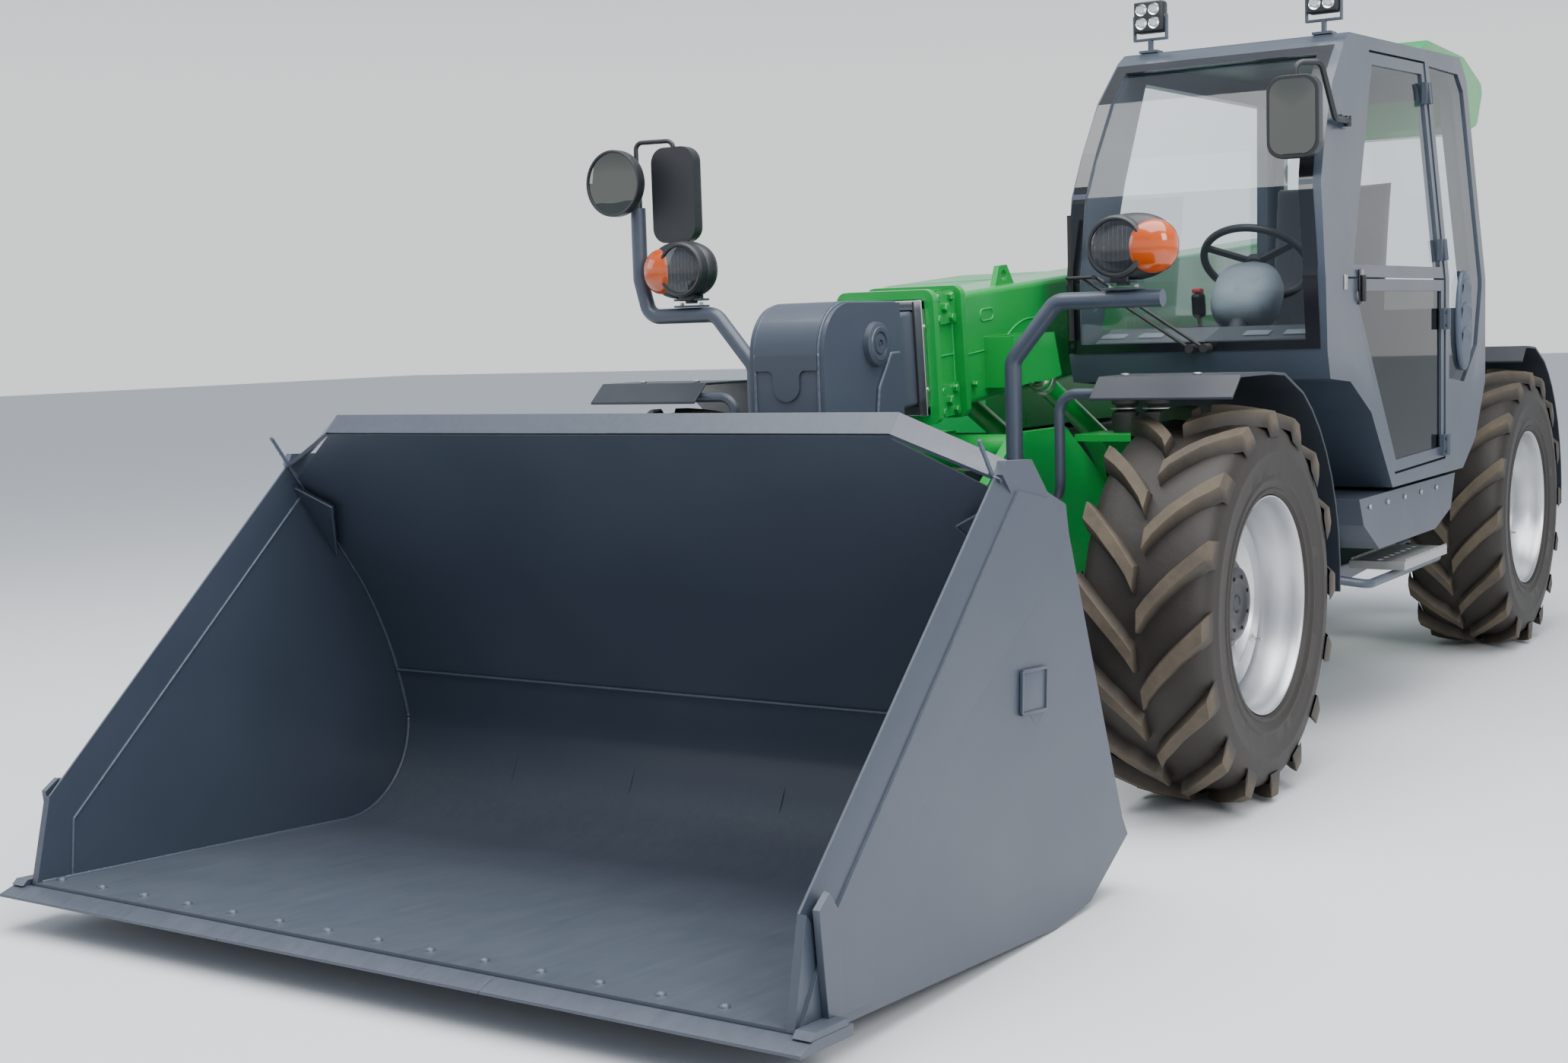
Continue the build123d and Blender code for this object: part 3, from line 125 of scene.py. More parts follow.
def placed_node(nodes, kind, **sockets):
    """A new shader node with some of its inputs set."""
    node = nodes.new(kind)
    for socket, value in sockets.items():
        node.inputs[socket.replace("_", " ")].default_value = value
    return node


floor_finish, floor_nodes, floor_links, floor_shader = principled("floor_paper", (0.74, 0.75, 0.76), 0.75)
floor_mottle = placed_node(floor_nodes, "ShaderNodeTexNoise", Scale=0.8)
floor_tone = placed_node(floor_nodes, "ShaderNodeMixRGB", Color1=(0.74, 0.75, 0.76, 1),
                         Color2=(0.78, 0.785, 0.79, 1))
floor_links.new(floor_mottle.outputs["Fac"], floor_tone.inputs["Fac"])
floor_links.new(floor_tone.outputs["Color"], floor_shader.inputs["Base Color"])
floor = mesh_object("floor", [(-FLOOR_HALF, -FLOOR_HALF, 0), (FLOOR_HALF, -FLOOR_HALF, 0),
                              (FLOOR_HALF, FLOOR_HALF, 0), (-FLOOR_HALF, FLOOR_HALF, 0)], [(0, 1, 2, 3)],
                    floor_finish)

studio = bpy.data.worlds.new("studio")
studio.use_nodes = True
sky_nodes, sky_links = studio.node_tree.nodes, studio.node_tree.links
sky_nodes["Background"].inputs["Strength"].default_value = 0.75
sky_where = sky_nodes.new("ShaderNodeTexCoord")
sky_split = sky_nodes.new("ShaderNodeSeparateXYZ")
sky_links.new(sky_where.outputs["Generated"], sky_split.inputs["Vector"])
sky_blend = sky_nodes.new("ShaderNodeValToRGB")
for place, colour in ((0.0, (1.5, 1.52, 1.56, 1)), (0.12, (1.5, 1.52, 1.56, 1)), (0.34, (0.5, 0.6, 0.74, 1)),
                      (0.9, (0.9, 0.96, 1.05, 1))):
    stop = sky_blend.color_ramp.elements.new(place) if 0.0 < place < 1.0 else sky_blend.color_ramp.elements[0]
    stop.color = colour
sky_blend.color_ramp.elements[-1].color = (1.0, 1.05, 1.1, 1)
sky_links.new(sky_split.outputs["Z"], sky_blend.inputs["Fac"])
sky_links.new(sky_blend.outputs["Color"], sky_nodes["Background"].inputs["Color"])
bpy.context.scene.world = studio


def softbox(name, place, aim_at, width, height, watts, colour=(1, 1, 1)):
    """A rectangular area light that faces a point."""
    light = bpy.data.lights.new(name, "AREA")
    light.shape, light.size, light.size_y = "RECTANGLE", width, height
    light.energy, light.color = watts, colour
    lamp = bpy.data.objects.new(name, light)
    bpy.context.scene.collection.objects.link(lamp)
    heading = Vector(aim_at) - Vector(place)
    lamp.matrix_world = Matrix.Translation(place) @ heading.to_track_quat("-Z", "Y").to_matrix().to_4x4()
    lamp.visible_camera = False


softbox("overhead", (1.0, -2.0, 8.0), (0, -1.0, 0), 9, 8, 1250)
softbox("key_panel", (8.5, -5.5, 6.0), (0.3, 0, 1.0), 4, 4, 520)
softbox("fill_panel", (-7.0, -4.0, 4.0), (0, 0, 1.0), 4, 3, 90, (0.9, 0.95, 1))

# ==== chassis, rear body and cab sill ====
# Two rails of thick plate with flame-cut nose plates and a rear tower, welded up and sprayed
# bright green. The counterweight, the engine's box and the sill under the cab are slate enamel.
# The spray leaves orange peel and a cloudy tone, and the yard leaves dust on what faces up.


def effect_group(name, inputs, outputs):
    """An empty node group with float and colour sockets; returns it with its two end nodes."""
    group = bpy.data.node_groups.new(name, "ShaderNodeTree")
    for socket, kind, value in inputs:
        made = group.interface.new_socket(socket, in_out="INPUT", socket_type=kind)
        if value is not None:
            made.default_value = value
    for socket, kind in outputs:
        group.interface.new_socket(socket, in_out="OUTPUT", socket_type=kind)
    return group, group.nodes.new("NodeGroupInput"), group.nodes.new("NodeGroupOutput")


def math_node(nodes, links, operation, first, second, clamp=False):
    """A Math node whose two inputs are sockets or numbers; returns its output."""
    node = nodes.new("ShaderNodeMath")
    node.operation, node.use_clamp = operation, clamp
    for index, value in enumerate((first, second)):
        if isinstance(value, (int, float)):
            node.inputs[index].default_value = value
        else:
            links.new(value, node.inputs[index])
    return node.outputs[0]


FLOAT, COLOUR, VECTOR = "NodeSocketFloat", "NodeSocketColor", "NodeSocketVector"

sprayed, s_in, s_out = effect_group("sprayed_paint",
                                    [("Colour", COLOUR, (0.5, 0.5, 0.5, 1)), ("Tone", FLOAT, 0.12),
                                                      ("Peel", FLOAT, 0.06), ("Roughness", FLOAT, 0.35)],
                                    [("Colour", COLOUR), ("Roughness", FLOAT), ("Normal", VECTOR)])
s_where = sprayed.nodes.new("ShaderNodeTexCoord")
s_cloud = placed_node(sprayed.nodes, "ShaderNodeTexNoise", Scale=3.2, Detail=6.0)
sprayed.links.new(s_where.outputs["Object"], s_cloud.inputs["Vector"])
s_shift = math_node(sprayed.nodes, sprayed.links, "SUBTRACT", s_cloud.outputs["Fac"], 0.5)
s_scaled = math_node(sprayed.nodes, sprayed.links, "MULTIPLY", s_shift, s_in.outputs["Tone"])
s_value = math_node(sprayed.nodes, sprayed.links, "ADD", s_scaled, 1.0)
s_hsv = sprayed.nodes.new("ShaderNodeHueSaturation")
sprayed.links.new(s_in.outputs["Colour"], s_hsv.inputs["Color"])
sprayed.links.new(s_value, s_hsv.inputs["Value"])
sprayed.links.new(s_hsv.outputs["Color"], s_out.inputs["Colour"])
s_rough = math_node(sprayed.nodes, sprayed.links, "MULTIPLY", s_shift, 0.22)
sprayed.links.new(math_node(sprayed.nodes, sprayed.links, "ADD", s_rough, s_in.outputs["Roughness"], True),
                  s_out.inputs["Roughness"])
s_peel = placed_node(sprayed.nodes, "ShaderNodeTexNoise", Scale=420.0)
sprayed.links.new(s_where.outputs["Object"], s_peel.inputs["Vector"])
s_bump = placed_node(sprayed.nodes, "ShaderNodeBump", Distance=0.0006)
sprayed.links.new(s_in.outputs["Peel"], s_bump.inputs["Strength"])
sprayed.links.new(s_peel.outputs["Fac"], s_bump.inputs["Height"])
sprayed.links.new(s_bump.outputs["Normal"], s_out.inputs["Normal"])

dusty, d_in, d_out = effect_group("yard_dust",
                                  [("Colour", COLOUR, (0.5, 0.5, 0.5, 1)),
                                   ("Dust", COLOUR, (0.2, 0.18, 0.15, 1)),
                                                ("Amount", FLOAT, 0.2), ("Scale", FLOAT, 9.0),
                                                ("Roughness", FLOAT, 0.4)],
                                  [("Colour", COLOUR), ("Roughness", FLOAT)])
d_face = dusty.nodes.new("ShaderNodeNewGeometry")
d_split = dusty.nodes.new("ShaderNodeSeparateXYZ")
dusty.links.new(d_face.outputs["Normal"], d_split.inputs["Vector"])
d_up = math_node(dusty.nodes, dusty.links, "MULTIPLY", d_split.outputs["Z"], 0.75, True)
d_base = math_node(dusty.nodes, dusty.links, "ADD", d_up, 0.25)
d_where = dusty.nodes.new("ShaderNodeTexCoord")
d_patch = placed_node(dusty.nodes, "ShaderNodeTexNoise", Detail=9.0, Roughness=0.65)
dusty.links.new(d_where.outputs["Object"], d_patch.inputs["Vector"])
dusty.links.new(d_in.outputs["Scale"], d_patch.inputs["Scale"])
d_mask = math_node(dusty.nodes, dusty.links, "MULTIPLY", d_base, d_patch.outputs["Fac"])
d_amount = math_node(dusty.nodes, dusty.links, "MULTIPLY", d_mask, d_in.outputs["Amount"], True)
d_mix = dusty.nodes.new("ShaderNodeMixRGB")
dusty.links.new(d_amount, d_mix.inputs["Fac"])
dusty.links.new(d_in.outputs["Colour"], d_mix.inputs["Color1"])
dusty.links.new(d_in.outputs["Dust"], d_mix.inputs["Color2"])
dusty.links.new(d_mix.outputs["Color"], d_out.inputs["Colour"])
d_dull = math_node(dusty.nodes, dusty.links, "MULTIPLY", d_amount, 0.45)
dusty.links.new(math_node(dusty.nodes, dusty.links, "ADD", d_dull, d_in.outputs["Roughness"], True),
                d_out.inputs["Roughness"])


def place_group(nodes, group, **values):
    """A group node with some of its inputs set."""
    node = nodes.new("ShaderNodeGroup")
    node.node_tree = group
    for socket, value in values.items():
        node.inputs[socket].default_value = (*value, 1) if isinstance(value, tuple) else value
    return node


def enamel(name, colour, roughness=0.35, coat=0.2, dust=0.15, tone=0.12, peel=0.25):
    """Sprayed enamel: cloudy tone and orange peel, with a little dust on what faces up."""
    material, nodes, links, shader = principled(name, colour, roughness, 0.0, coat)
    shader.inputs["Coat Roughness"].default_value = 0.12
    spray = place_group(nodes, sprayed, Colour=colour, Tone=tone, Peel=peel, Roughness=roughness)
    film = place_group(nodes, dusty, Dust=(0.23, 0.22, 0.2), Amount=dust)
    links.new(spray.outputs["Colour"], film.inputs["Colour"])
    links.new(spray.outputs["Roughness"], film.inputs["Roughness"])
    links.new(film.outputs["Colour"], shader.inputs["Base Color"])
    links.new(film.outputs["Roughness"], shader.inputs["Roughness"])
    links.new(spray.outputs["Normal"], shader.inputs["Normal"])
    return material


def fixed(piece, body, slot, *stands_for):
    """Fixes a piece to a body and hides the nodes that it stands for."""
    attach(piece, body)
    if stands_for:
        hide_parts(*stands_for)
    return piece


SLOTS = {row["node"]: row["material_slot"] for row in frame["record"]["subparts"]}
SHARP = radians(32)


def dressed(node, material, rounding=0.0025, segments=2):
    """A node's shape with its flat faces joined up and its edges broken, as dressed steel has them."""
    source = frame["nodes"][node]
    shape = bmesh.new()
    shape.from_mesh(source.data)
    bmesh.ops.remove_doubles(shape, verts=shape.verts, dist=2e-5)
    bmesh.ops.dissolve_limit(shape, angle_limit=radians(0.5), verts=shape.verts, edges=shape.edges)
    for face in shape.faces:
        face.smooth = True
    for edge in shape.edges:
        edge.smooth = edge.calc_face_angle(0.0) < SHARP
    mesh = bpy.data.meshes.new(node + "_dressed")
    shape.to_mesh(mesh)
    shape.free()
    for spare in ("custom_normal", "UVMap"):
        if spare in mesh.attributes:
            mesh.attributes.remove(mesh.attributes[spare])
    mesh.materials.clear()
    mesh.materials.append(material)
    mesh.polygons.foreach_set("material_index", [0] * len(mesh.polygons))
    piece = bpy.data.objects.new(node + "_dressed", mesh)
    bpy.context.scene.collection.objects.link(piece)
    if rounding:
        broken = piece.modifiers.new("broken edges", "BEVEL")
        broken.width, broken.segments = rounding, segments
        broken.limit_method, broken.angle_limit = "ANGLE", SHARP
        broken.harden_normals, broken.use_clamp_overlap = True, True
    return fixed(piece, source["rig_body"], SLOTS[node], node)


bright_green = enamel("bright_green", (0.002, 0.30, 0.045), 0.3, 0.45, 0.08)
slate = enamel("slate_enamel", (0.042, 0.055, 0.08), 0.42, 0.2, 0.08)
dressed("chassis", bright_green, 0.004)
dressed("rear_body", slate, 0.005)
dressed("sill", slate, 0.004)

# ==== axles and steering knuckles ====
# Cast banjo axles with a king pin at each end. The knuckles swing on them and carry the hubs.
# All are cast iron in black axle paint, rough from the sand mould.
cast_black = enamel("cast_black", (0.008, 0.009, 0.012), 0.42, 0.05, 0.06, 0.3, 0.9)
for node in ("front_axle", "rear_axle"):
    dressed(node, cast_black, 0.004)
CORNERS = ("front_left", "front_right", "rear_left", "rear_right")
for corner in CORNERS:
    dressed("knuckle_" + corner, cast_black, 0.004)

# ==== tyres ====
# Agricultural traction tyres: a bias carcass with rings moulded in the wall and sixteen bent lugs a
# side that meet in a broken V, whose point reaches the ground first. Dry khaki soil stays on the lugs.
LUGS = 16
CROWN_R, LUG_R = 0.563, 0.605
TYRE_HALF = 0.2
LUG_REACH = 0.195
LUG_SWEEP = radians(20)
LUG_TOP, LUG_FOOT = 0.058, 0.098
CARCASS = [(0.334, 0.176), (0.342, 0.188), (0.352, 0.189), (0.356, 0.186), (0.372, 0.190), (0.378, 0.194),
           (0.386, 0.1945),
           (0.392, 0.191), (0.43, 0.1965), (0.455, 0.1985), (0.46, 0.2), (0.468, 0.2), (0.473, 0.1985),
           (0.505, 0.196),
           (0.528, 0.188), (0.545, 0.172), (0.556, 0.145), (CROWN_R, 0.1), (CROWN_R + 0.003, 0.0)]
TURN_STEPS = 152


def turned_rings(profile, steps):
    """The points and faces of a (radius, place along x) outline turned about the x axis."""
    points = [(x, r * sin(2 * pi * i / steps), r * cos(2 * pi * i / steps)) for i in range(steps) for r,
              x in profile]
    count = len(profile)
    faces = [(i * count + j, i * count + j + 1, ((i + 1) % steps) * count + j + 1,
              ((i + 1) % steps) * count + j)
             for i in range(steps) for j in range(count - 1)]
    return points, faces


def lug_station(t):
    """How far along a lug: place across the tread, lead ahead of the shoulder, and the top's radius."""
    across = 0.008 + (LUG_REACH - 0.008) * t
    lead = LUG_SWEEP * (1 - t ** 0.85)
    return across, lead, LUG_R - 0.0005 - 0.019 * t ** 2.6


def lug(points, faces, soil, side, start):
    """One lug from the tread's middle to the shoulder, with sloping flanks and a step down the wall."""
    first = len(points)
    stations = [lug_station(t) for t in (0.0, 0.12, 0.3, 0.5, 0.7, 0.86, 1.0)]
    rows = []
    for index, (across, lead, top) in enumerate(stations):
        flare = 1.0 + 0.18 * (index == 0) + 0.1 * (index > 4)
        foot = CROWN_R - 0.012 - 0.06 * max(0.0, across / TYRE_HALF - 0.72) ** 1.2
        rows.append((across, lead, top, LUG_TOP * flare, foot))
    rows.append((TYRE_HALF + 0.001, -0.02, 0.552, LUG_TOP * 1.05, 0.51))
    for across, lead, top, width, foot in rows:
        for radius, half in ((foot, LUG_FOOT / 2), (top - 0.006, width / 2 + 0.001), (top, width / 2 - 0.005),
                             (top, -width / 2 + 0.005), (top - 0.006, -width / 2 - 0.001),
                             (foot, -LUG_FOOT / 2)):
            angle = start + lead + half / LUG_R
            points.append((side * across, -radius * sin(angle), radius * cos(angle)))
            soil.append(1.0 if radius == top else (0.75 if radius == top - 0.006 else 0.12))
    wide = 6
    for i in range(len(rows) - 1):
        for j in range(wide - 1):
            a = first + i * wide + j
            quad = (a, a + 1, a + wide + 1, a + wide)
            faces.append(quad if side > 0 else quad[::-1])
    ends = (tuple(first + j for j in range(wide)),
            tuple(first + (len(rows) - 1) * wide + j for j in range(wide)))
    faces.append(ends[0][::-1] if side > 0 else ends[0])
    faces.append(ends[1] if side > 0 else ends[1][::-1])


def tyre_mesh():
    """The whole tyre about the x axis, with how much soil each point holds."""
    profile = CARCASS + [(r, -x) for r, x in reversed(CARCASS[:-1])]
    points, faces = turned_rings(profile, TURN_STEPS)
    soil = [0.22 if r > 0.55 else 0.05 for _ in range(TURN_STEPS) for r, x in profile]
    for side, offset in ((1, 0.0), (-1, 0.5)):
        for i in range(LUGS):
            lug(points, faces, soil, side, 2 * pi * (i + offset) / LUGS)
    worn = []
    for p in points:
        place = Vector(p)
        worn.append(place + noise.noise_vector(place * 38.0) * (0.0022 if place.yz.length > 0.56 else 0.0004))
    return worn, faces, soil


rubber_finish, r_nodes, r_links, r_shader = principled("tyre_rubber", (0.03, 0.026, 0.022), 0.72)
r_soil = r_nodes.new("ShaderNodeAttribute")
r_soil.attribute_name = "soil"
r_place = r_nodes.new("ShaderNodeTexCoord")
r_patch = placed_node(r_nodes, "ShaderNodeTexNoise", Scale=26.0, Detail=12.0, Roughness=0.7)
r_links.new(r_place.outputs["Object"], r_patch.inputs["Vector"])
r_wide = placed_node(r_nodes, "ShaderNodeTexNoise", Scale=5.0)
r_links.new(r_place.outputs["Object"], r_wide.inputs["Vector"])
r_fine = math_node(r_nodes, r_links, "ADD", r_patch.outputs["Fac"], r_wide.outputs["Fac"])
r_hold = math_node(r_nodes, r_links, "MULTIPLY", r_fine, r_soil.outputs["Fac"])
r_range = placed_node(r_nodes, "ShaderNodeMapRange", From_Min=0.3, From_Max=1.35)
r_links.new(r_hold, r_range.inputs["Value"])
r_colour = placed_node(r_nodes, "ShaderNodeMixRGB", Color1=(0.02, 0.0155, 0.012, 1),
                       Color2=(0.125, 0.097, 0.066, 1))
r_links.new(r_range.outputs["Result"], r_colour.inputs["Fac"])
r_links.new(r_colour.outputs["Color"], r_shader.inputs["Base Color"])
r_links.new(math_node(r_nodes, r_links, "ADD",
                      math_node(r_nodes, r_links, "MULTIPLY", r_range.outputs["Result"], 0.3), 0.58),
            r_shader.inputs["Roughness"])
r_crumb = placed_node(r_nodes, "ShaderNodeBump", Strength=0.5, Distance=0.003)
r_links.new(r_patch.outputs["Fac"], r_crumb.inputs["Height"])
r_links.new(r_crumb.outputs["Normal"], r_shader.inputs["Normal"])

tyre_points, tyre_faces, tyre_soil = tyre_mesh()
for corner in CORNERS:
    low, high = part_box("tyre_" + corner)
    centre = (low + high) / 2
    piece = mesh_object("tyre_lugged_" + corner, [p + centre for p in tyre_points], tyre_faces, rubber_finish)
    held = piece.data.attributes.new("soil", "FLOAT", "POINT")
    held.data.foreach_set("value", tyre_soil)
    piece.data.set_sharp_from_angle(angle=radians(38))
    fixed(piece, "wheel_" + corner, "tyre_rubber", "tyre_" + corner)

# ==== rims ====
# Pressed steel rims with a deep well, sprayed silver, welded to a dished disc. The reduction hub
# stands through the disc in black axle paint, ringed by the wheel nuts. The valve sits in the well.


def bright_metal(name, colour, roughness, depth=0.05):
    """Bare, plated or polished metal with fine handling marks."""
    material, nodes, links, shader = principled(name, colour, roughness, 1.0)
    spray = place_group(nodes, sprayed, Colour=colour, Tone=0.2, Peel=depth, Roughness=roughness)
    links.new(spray.outputs["Colour"], shader.inputs["Base Color"])
    links.new(spray.outputs["Roughness"], shader.inputs["Roughness"])
    links.new(spray.outputs["Normal"], shader.inputs["Normal"])
    return material


rim_silver = bright_metal("rim_silver", (0.56, 0.57, 0.59), 0.36)
nut_zinc = bright_metal("zinc_plate", (0.55, 0.55, 0.52), 0.42)
RIM_HALF, SEAT_R, WELL_R, SHEET = 0.178, 0.333, 0.305, 0.009
DISC_FACE = 0.2 - 0.175
NUTS, NUT_CIRCLE = 10, 0.162
OUTER_WALL = [(SEAT_R - 0.002, RIM_HALF + 0.001), (SEAT_R, RIM_HALF - 0.004), (SEAT_R, RIM_HALF - 0.026),
              (SEAT_R - 0.012, 0.118),
              (WELL_R + 0.002, 0.088), (WELL_R, 0.07)]
OUTER_WALL = OUTER_WALL + [(r, -x) for r, x in reversed(OUTER_WALL)]
INNER_WALL = [(SEAT_R - 0.01, -RIM_HALF), (SEAT_R - 0.014, 0.03 - RIM_HALF), (SEAT_R - 0.022, -0.115),
              (WELL_R - SHEET, -0.085),
              (WELL_R - SHEET, 0.085), (SEAT_R - 0.022, 0.115), (SEAT_R - 0.014, RIM_HALF - 0.03),
              (SEAT_R - 0.012, RIM_HALF - 0.012),
              (SEAT_R - 0.006, RIM_HALF)]
DISC = [(0.295, DISC_FACE - 0.012), (0.2955, DISC_FACE + 0.002), (0.286, DISC_FACE + 0.012),
        (0.268, DISC_FACE + 0.033),
        (0.258, DISC_FACE + 0.036), (0.204, DISC_FACE + 0.036), (0.199, DISC_FACE + 0.031),
        (0.185, DISC_FACE + 0.003),
        (0.18, DISC_FACE), (0.097, DISC_FACE), (0.097, DISC_FACE - 0.014), (0.182, DISC_FACE - 0.014),
        (0.2, DISC_FACE + 0.02),
        (0.262, DISC_FACE + 0.02), (0.284, DISC_FACE - 0.006), (0.295, DISC_FACE - 0.012)]
HUB = [(0.0, DISC_FACE + 0.054), (0.022, DISC_FACE + 0.054), (0.026, DISC_FACE + 0.05),
       (0.03, DISC_FACE + 0.056),
       (0.062, DISC_FACE + 0.056), (0.068, DISC_FACE + 0.06), (0.102, DISC_FACE + 0.06),
       (0.111, DISC_FACE + 0.055),
       (0.113, DISC_FACE + 0.046), (0.114, DISC_FACE + 0.036), (0.134, DISC_FACE + 0.033),
       (0.141, DISC_FACE + 0.027),
       (0.142, DISC_FACE - 0.002), (0.165, DISC_FACE - 0.02), (0.165, DISC_FACE - 0.028),
       (0.0, DISC_FACE - 0.028)]
CAP_SCREWS = 8


def turned(name, profile, place, material, side=1.0, steps=96, edge=38):
    """A piece turned about a line along x at a place; a negative side faces it the other way."""
    points, faces = turned_rings(profile, steps)
    points = [place + Vector((side * p[0], p[1], p[2])) for p in points]
    if side < 0:
        faces = [face[::-1] for face in faces]
    piece = mesh_object(name, points, faces, material)
    shape = bmesh.new()
    shape.from_mesh(piece.data)
    bmesh.ops.remove_doubles(shape, verts=shape.verts, dist=1e-6)
    bmesh.ops.recalc_face_normals(shape, faces=shape.faces)
    shape.to_mesh(piece.data)
    shape.free()
    piece.data.set_sharp_from_angle(angle=radians(edge))
    return piece


def joined(name, pieces):
    """Several meshes made into one piece, each keeping its own material."""
    shape = bmesh.new()
    materials = []
    for piece in pieces:
        count = len(shape.faces)
        piece.data.transform(piece.matrix_world)
        shape.from_mesh(piece.data)
        shape.faces.ensure_lookup_table()
        for material in piece.data.materials:
            if material not in materials:
                materials.append(material)
        for face in list(shape.faces)[count:]:
            own = min(face.material_index, len(piece.data.materials) - 1)
            face.material_index = materials.index(piece.data.materials[own])
    mesh = bpy.data.meshes.new(name)
    shape.to_mesh(mesh)
    shape.free()
    for material in materials:
        mesh.materials.append(material)
    for piece in pieces:
        bpy.data.objects.remove(piece)
    whole = bpy.data.objects.new(name, mesh)
    bpy.context.scene.collection.objects.link(whole)
    return whole


def hex_head(name, place, along, across, height, material, turn=0.0):
    """A hexagon bolt head or nut standing on a surface, with its chamfered top and a washer face."""
    along = Vector(along).normalized()
    stood = along.to_track_quat("Z", "Y").to_matrix().to_4x4()
    frame_of = Matrix.Translation(place) @ stood @ Matrix.Rotation(turn, 4, "Z")
    radius = across / 2 / cos(pi / 6)
    rings = ((radius * 1.12, 0.0, 12), (radius * 1.12, height * 0.12, 12), (radius, height * 0.13, 6),
             (radius, height * 0.85, 6), (radius * 0.86, height, 6), (radius * 0.3, height * 1.025, 6))
    points, faces, starts = [], [], []
    for ring_radius, z, sides in rings:
        starts.append(len(points))
        for i in range(12):
            angle = pi / 6 * i
            reach = ring_radius if sides == 12 or i % 2 == 0 else ring_radius * cos(pi / 6)
            points.append(frame_of @ Vector((reach * cos(angle), reach * sin(angle), z)))
    for a, b in zip(starts, starts[1:]):
        faces += [(a + i, a + (i + 1) % 12, b + (i + 1) % 12, b + i) for i in range(12)]
    faces.append(tuple(starts[-1] + i for i in range(12)))
    piece = mesh_object(name, points, faces, material)
    piece.data.set_sharp_from_angle(angle=radians(30))
    return piece


for corner in CORNERS:
    low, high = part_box("rim_" + corner)
    side = 1.0 if low.x > 0 else -1.0
    tyre_low, tyre_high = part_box("tyre_" + corner)
    middle = (tyre_low + tyre_high) / 2
    parts = [turned("wall", OUTER_WALL + INNER_WALL + OUTER_WALL[:1], middle, rim_silver, side),
             turned("disc", DISC, middle, rim_silver, side), turned("hub", HUB, middle, cast_black, side)]
    for i in range(NUTS):
        angle = 2 * pi * i / NUTS
        place = middle + Vector((side * DISC_FACE, NUT_CIRCLE * sin(angle), NUT_CIRCLE * cos(angle)))
        parts.append(hex_head("nut", place, (side, 0, 0), 0.027, 0.02, nut_zinc, i))
    for i in range(CAP_SCREWS):
        angle = 2 * pi * (i + 0.5) / CAP_SCREWS
        place = middle + Vector((side * (DISC_FACE + 0.059), 0.084 * sin(angle), 0.084 * cos(angle)))
        parts.append(hex_head("cap_screw", place, (side, 0, 0), 0.011, 0.006, cast_black, i))
    valve = middle + Vector((side * (DISC_FACE + 0.034), 0.23 * sin(2.2), 0.23 * cos(2.2)))
    stem = [(0.0, 0.03), (0.004, 0.03), (0.0045, 0.012), (0.007, 0.01), (0.012, 0.004), (0.02, 0.002),
            (0.022, 0.0), (0.0, -0.004)]
    parts.append(turned("valve", stem, valve, nut_zinc, side, 20))
    fixed(joined("rim_dished_" + corner, parts), "wheel_" + corner, "silver_paint", "rim_" + corner)

# ==== boom base section, collar and scraper ====
# A long welded box with lift brackets on both sides and two heavy flanges round its mouth. Bolted
# plates between the flanges hold the wear pads, and a bristle strip in a bright holder keeps dirt out.
for node, rounding in (("boom_outer", 0.003), ("boom_collar", 0.006)):
    dressed(node, bright_green, rounding)
BOOM_DROP = radians(4.3)
BOOM_REACH = 3.6
BOOM_HALF = 0.138
COLLAR_BACK = -BOOM_REACH + 0.175
COLLAR_FRONT = -BOOM_REACH + 0.018
along_boom = Matrix.Translation(at(0, 3.4, 1.645)) @ Matrix.Rotation(BOOM_DROP, 4, "X")
weld_steel = enamel("painted_weld", (0.06, 0.08, 0.115), 0.45, 0.15, 0.1, 0.3, 0.5)
weld_green = enamel("painted_weld_green", (0.006, 0.35, 0.07), 0.38, 0.2, 0.1, 0.3, 0.5)


def weld_bead(name, points, radius, material, closed=False):
    """A rippled weld bead laid along a line of points, as a hand-held torch leaves it."""
    points = [Vector(p) for p in points]
    if closed:
        points.append(points[0])
    pitch = radius * 0.9
    line = []
    for a, b in zip(points, points[1:]):
        steps = max(1, round((b - a).length / pitch))
        line += [a.lerp(b, i / steps) for i in range(steps)]
    line.append(points[-1])
    sides, out, faces = 6, [], []
    for i, here in enumerate(line):
        ahead = (line[min(i + 1, len(line) - 1)] - line[max(i - 1, 0)]).normalized()
        turn = ahead.to_track_quat("Z", "Y").to_matrix()
        wander = noise.noise(here * 90.0)
        swell = radius * (0.82 + 0.14 * (i % 2) + 0.2 * wander)
        for k in range(sides):
            angle = 2 * pi * k / sides
            out.append(here + turn @ Vector((swell * cos(angle), swell * sin(angle), 0)))
    for i in range(len(line) - 1):
        faces += [(i * sides + k, i * sides + (k + 1) % sides, (i + 1) * sides + (k + 1) % sides,
                   (i + 1) * sides + k)
                  for k in range(sides)]
    faces.append(tuple(range(sides))[::-1])
    faces.append(tuple((len(line) - 1) * sides + k for k in range(sides)))
    return mesh_object(name, out, faces, material)


def arc_points(centre, radius, start, end, steps, spot):
    """Points along an arc, each put through a function of its two coordinates."""
    return [spot(centre[0] + radius * cos(radians(start + (end - start) * i / steps)),
                 centre[1] + radius * sin(radians(start + (end - start) * i / steps)))
            for i in range(steps + 1)]


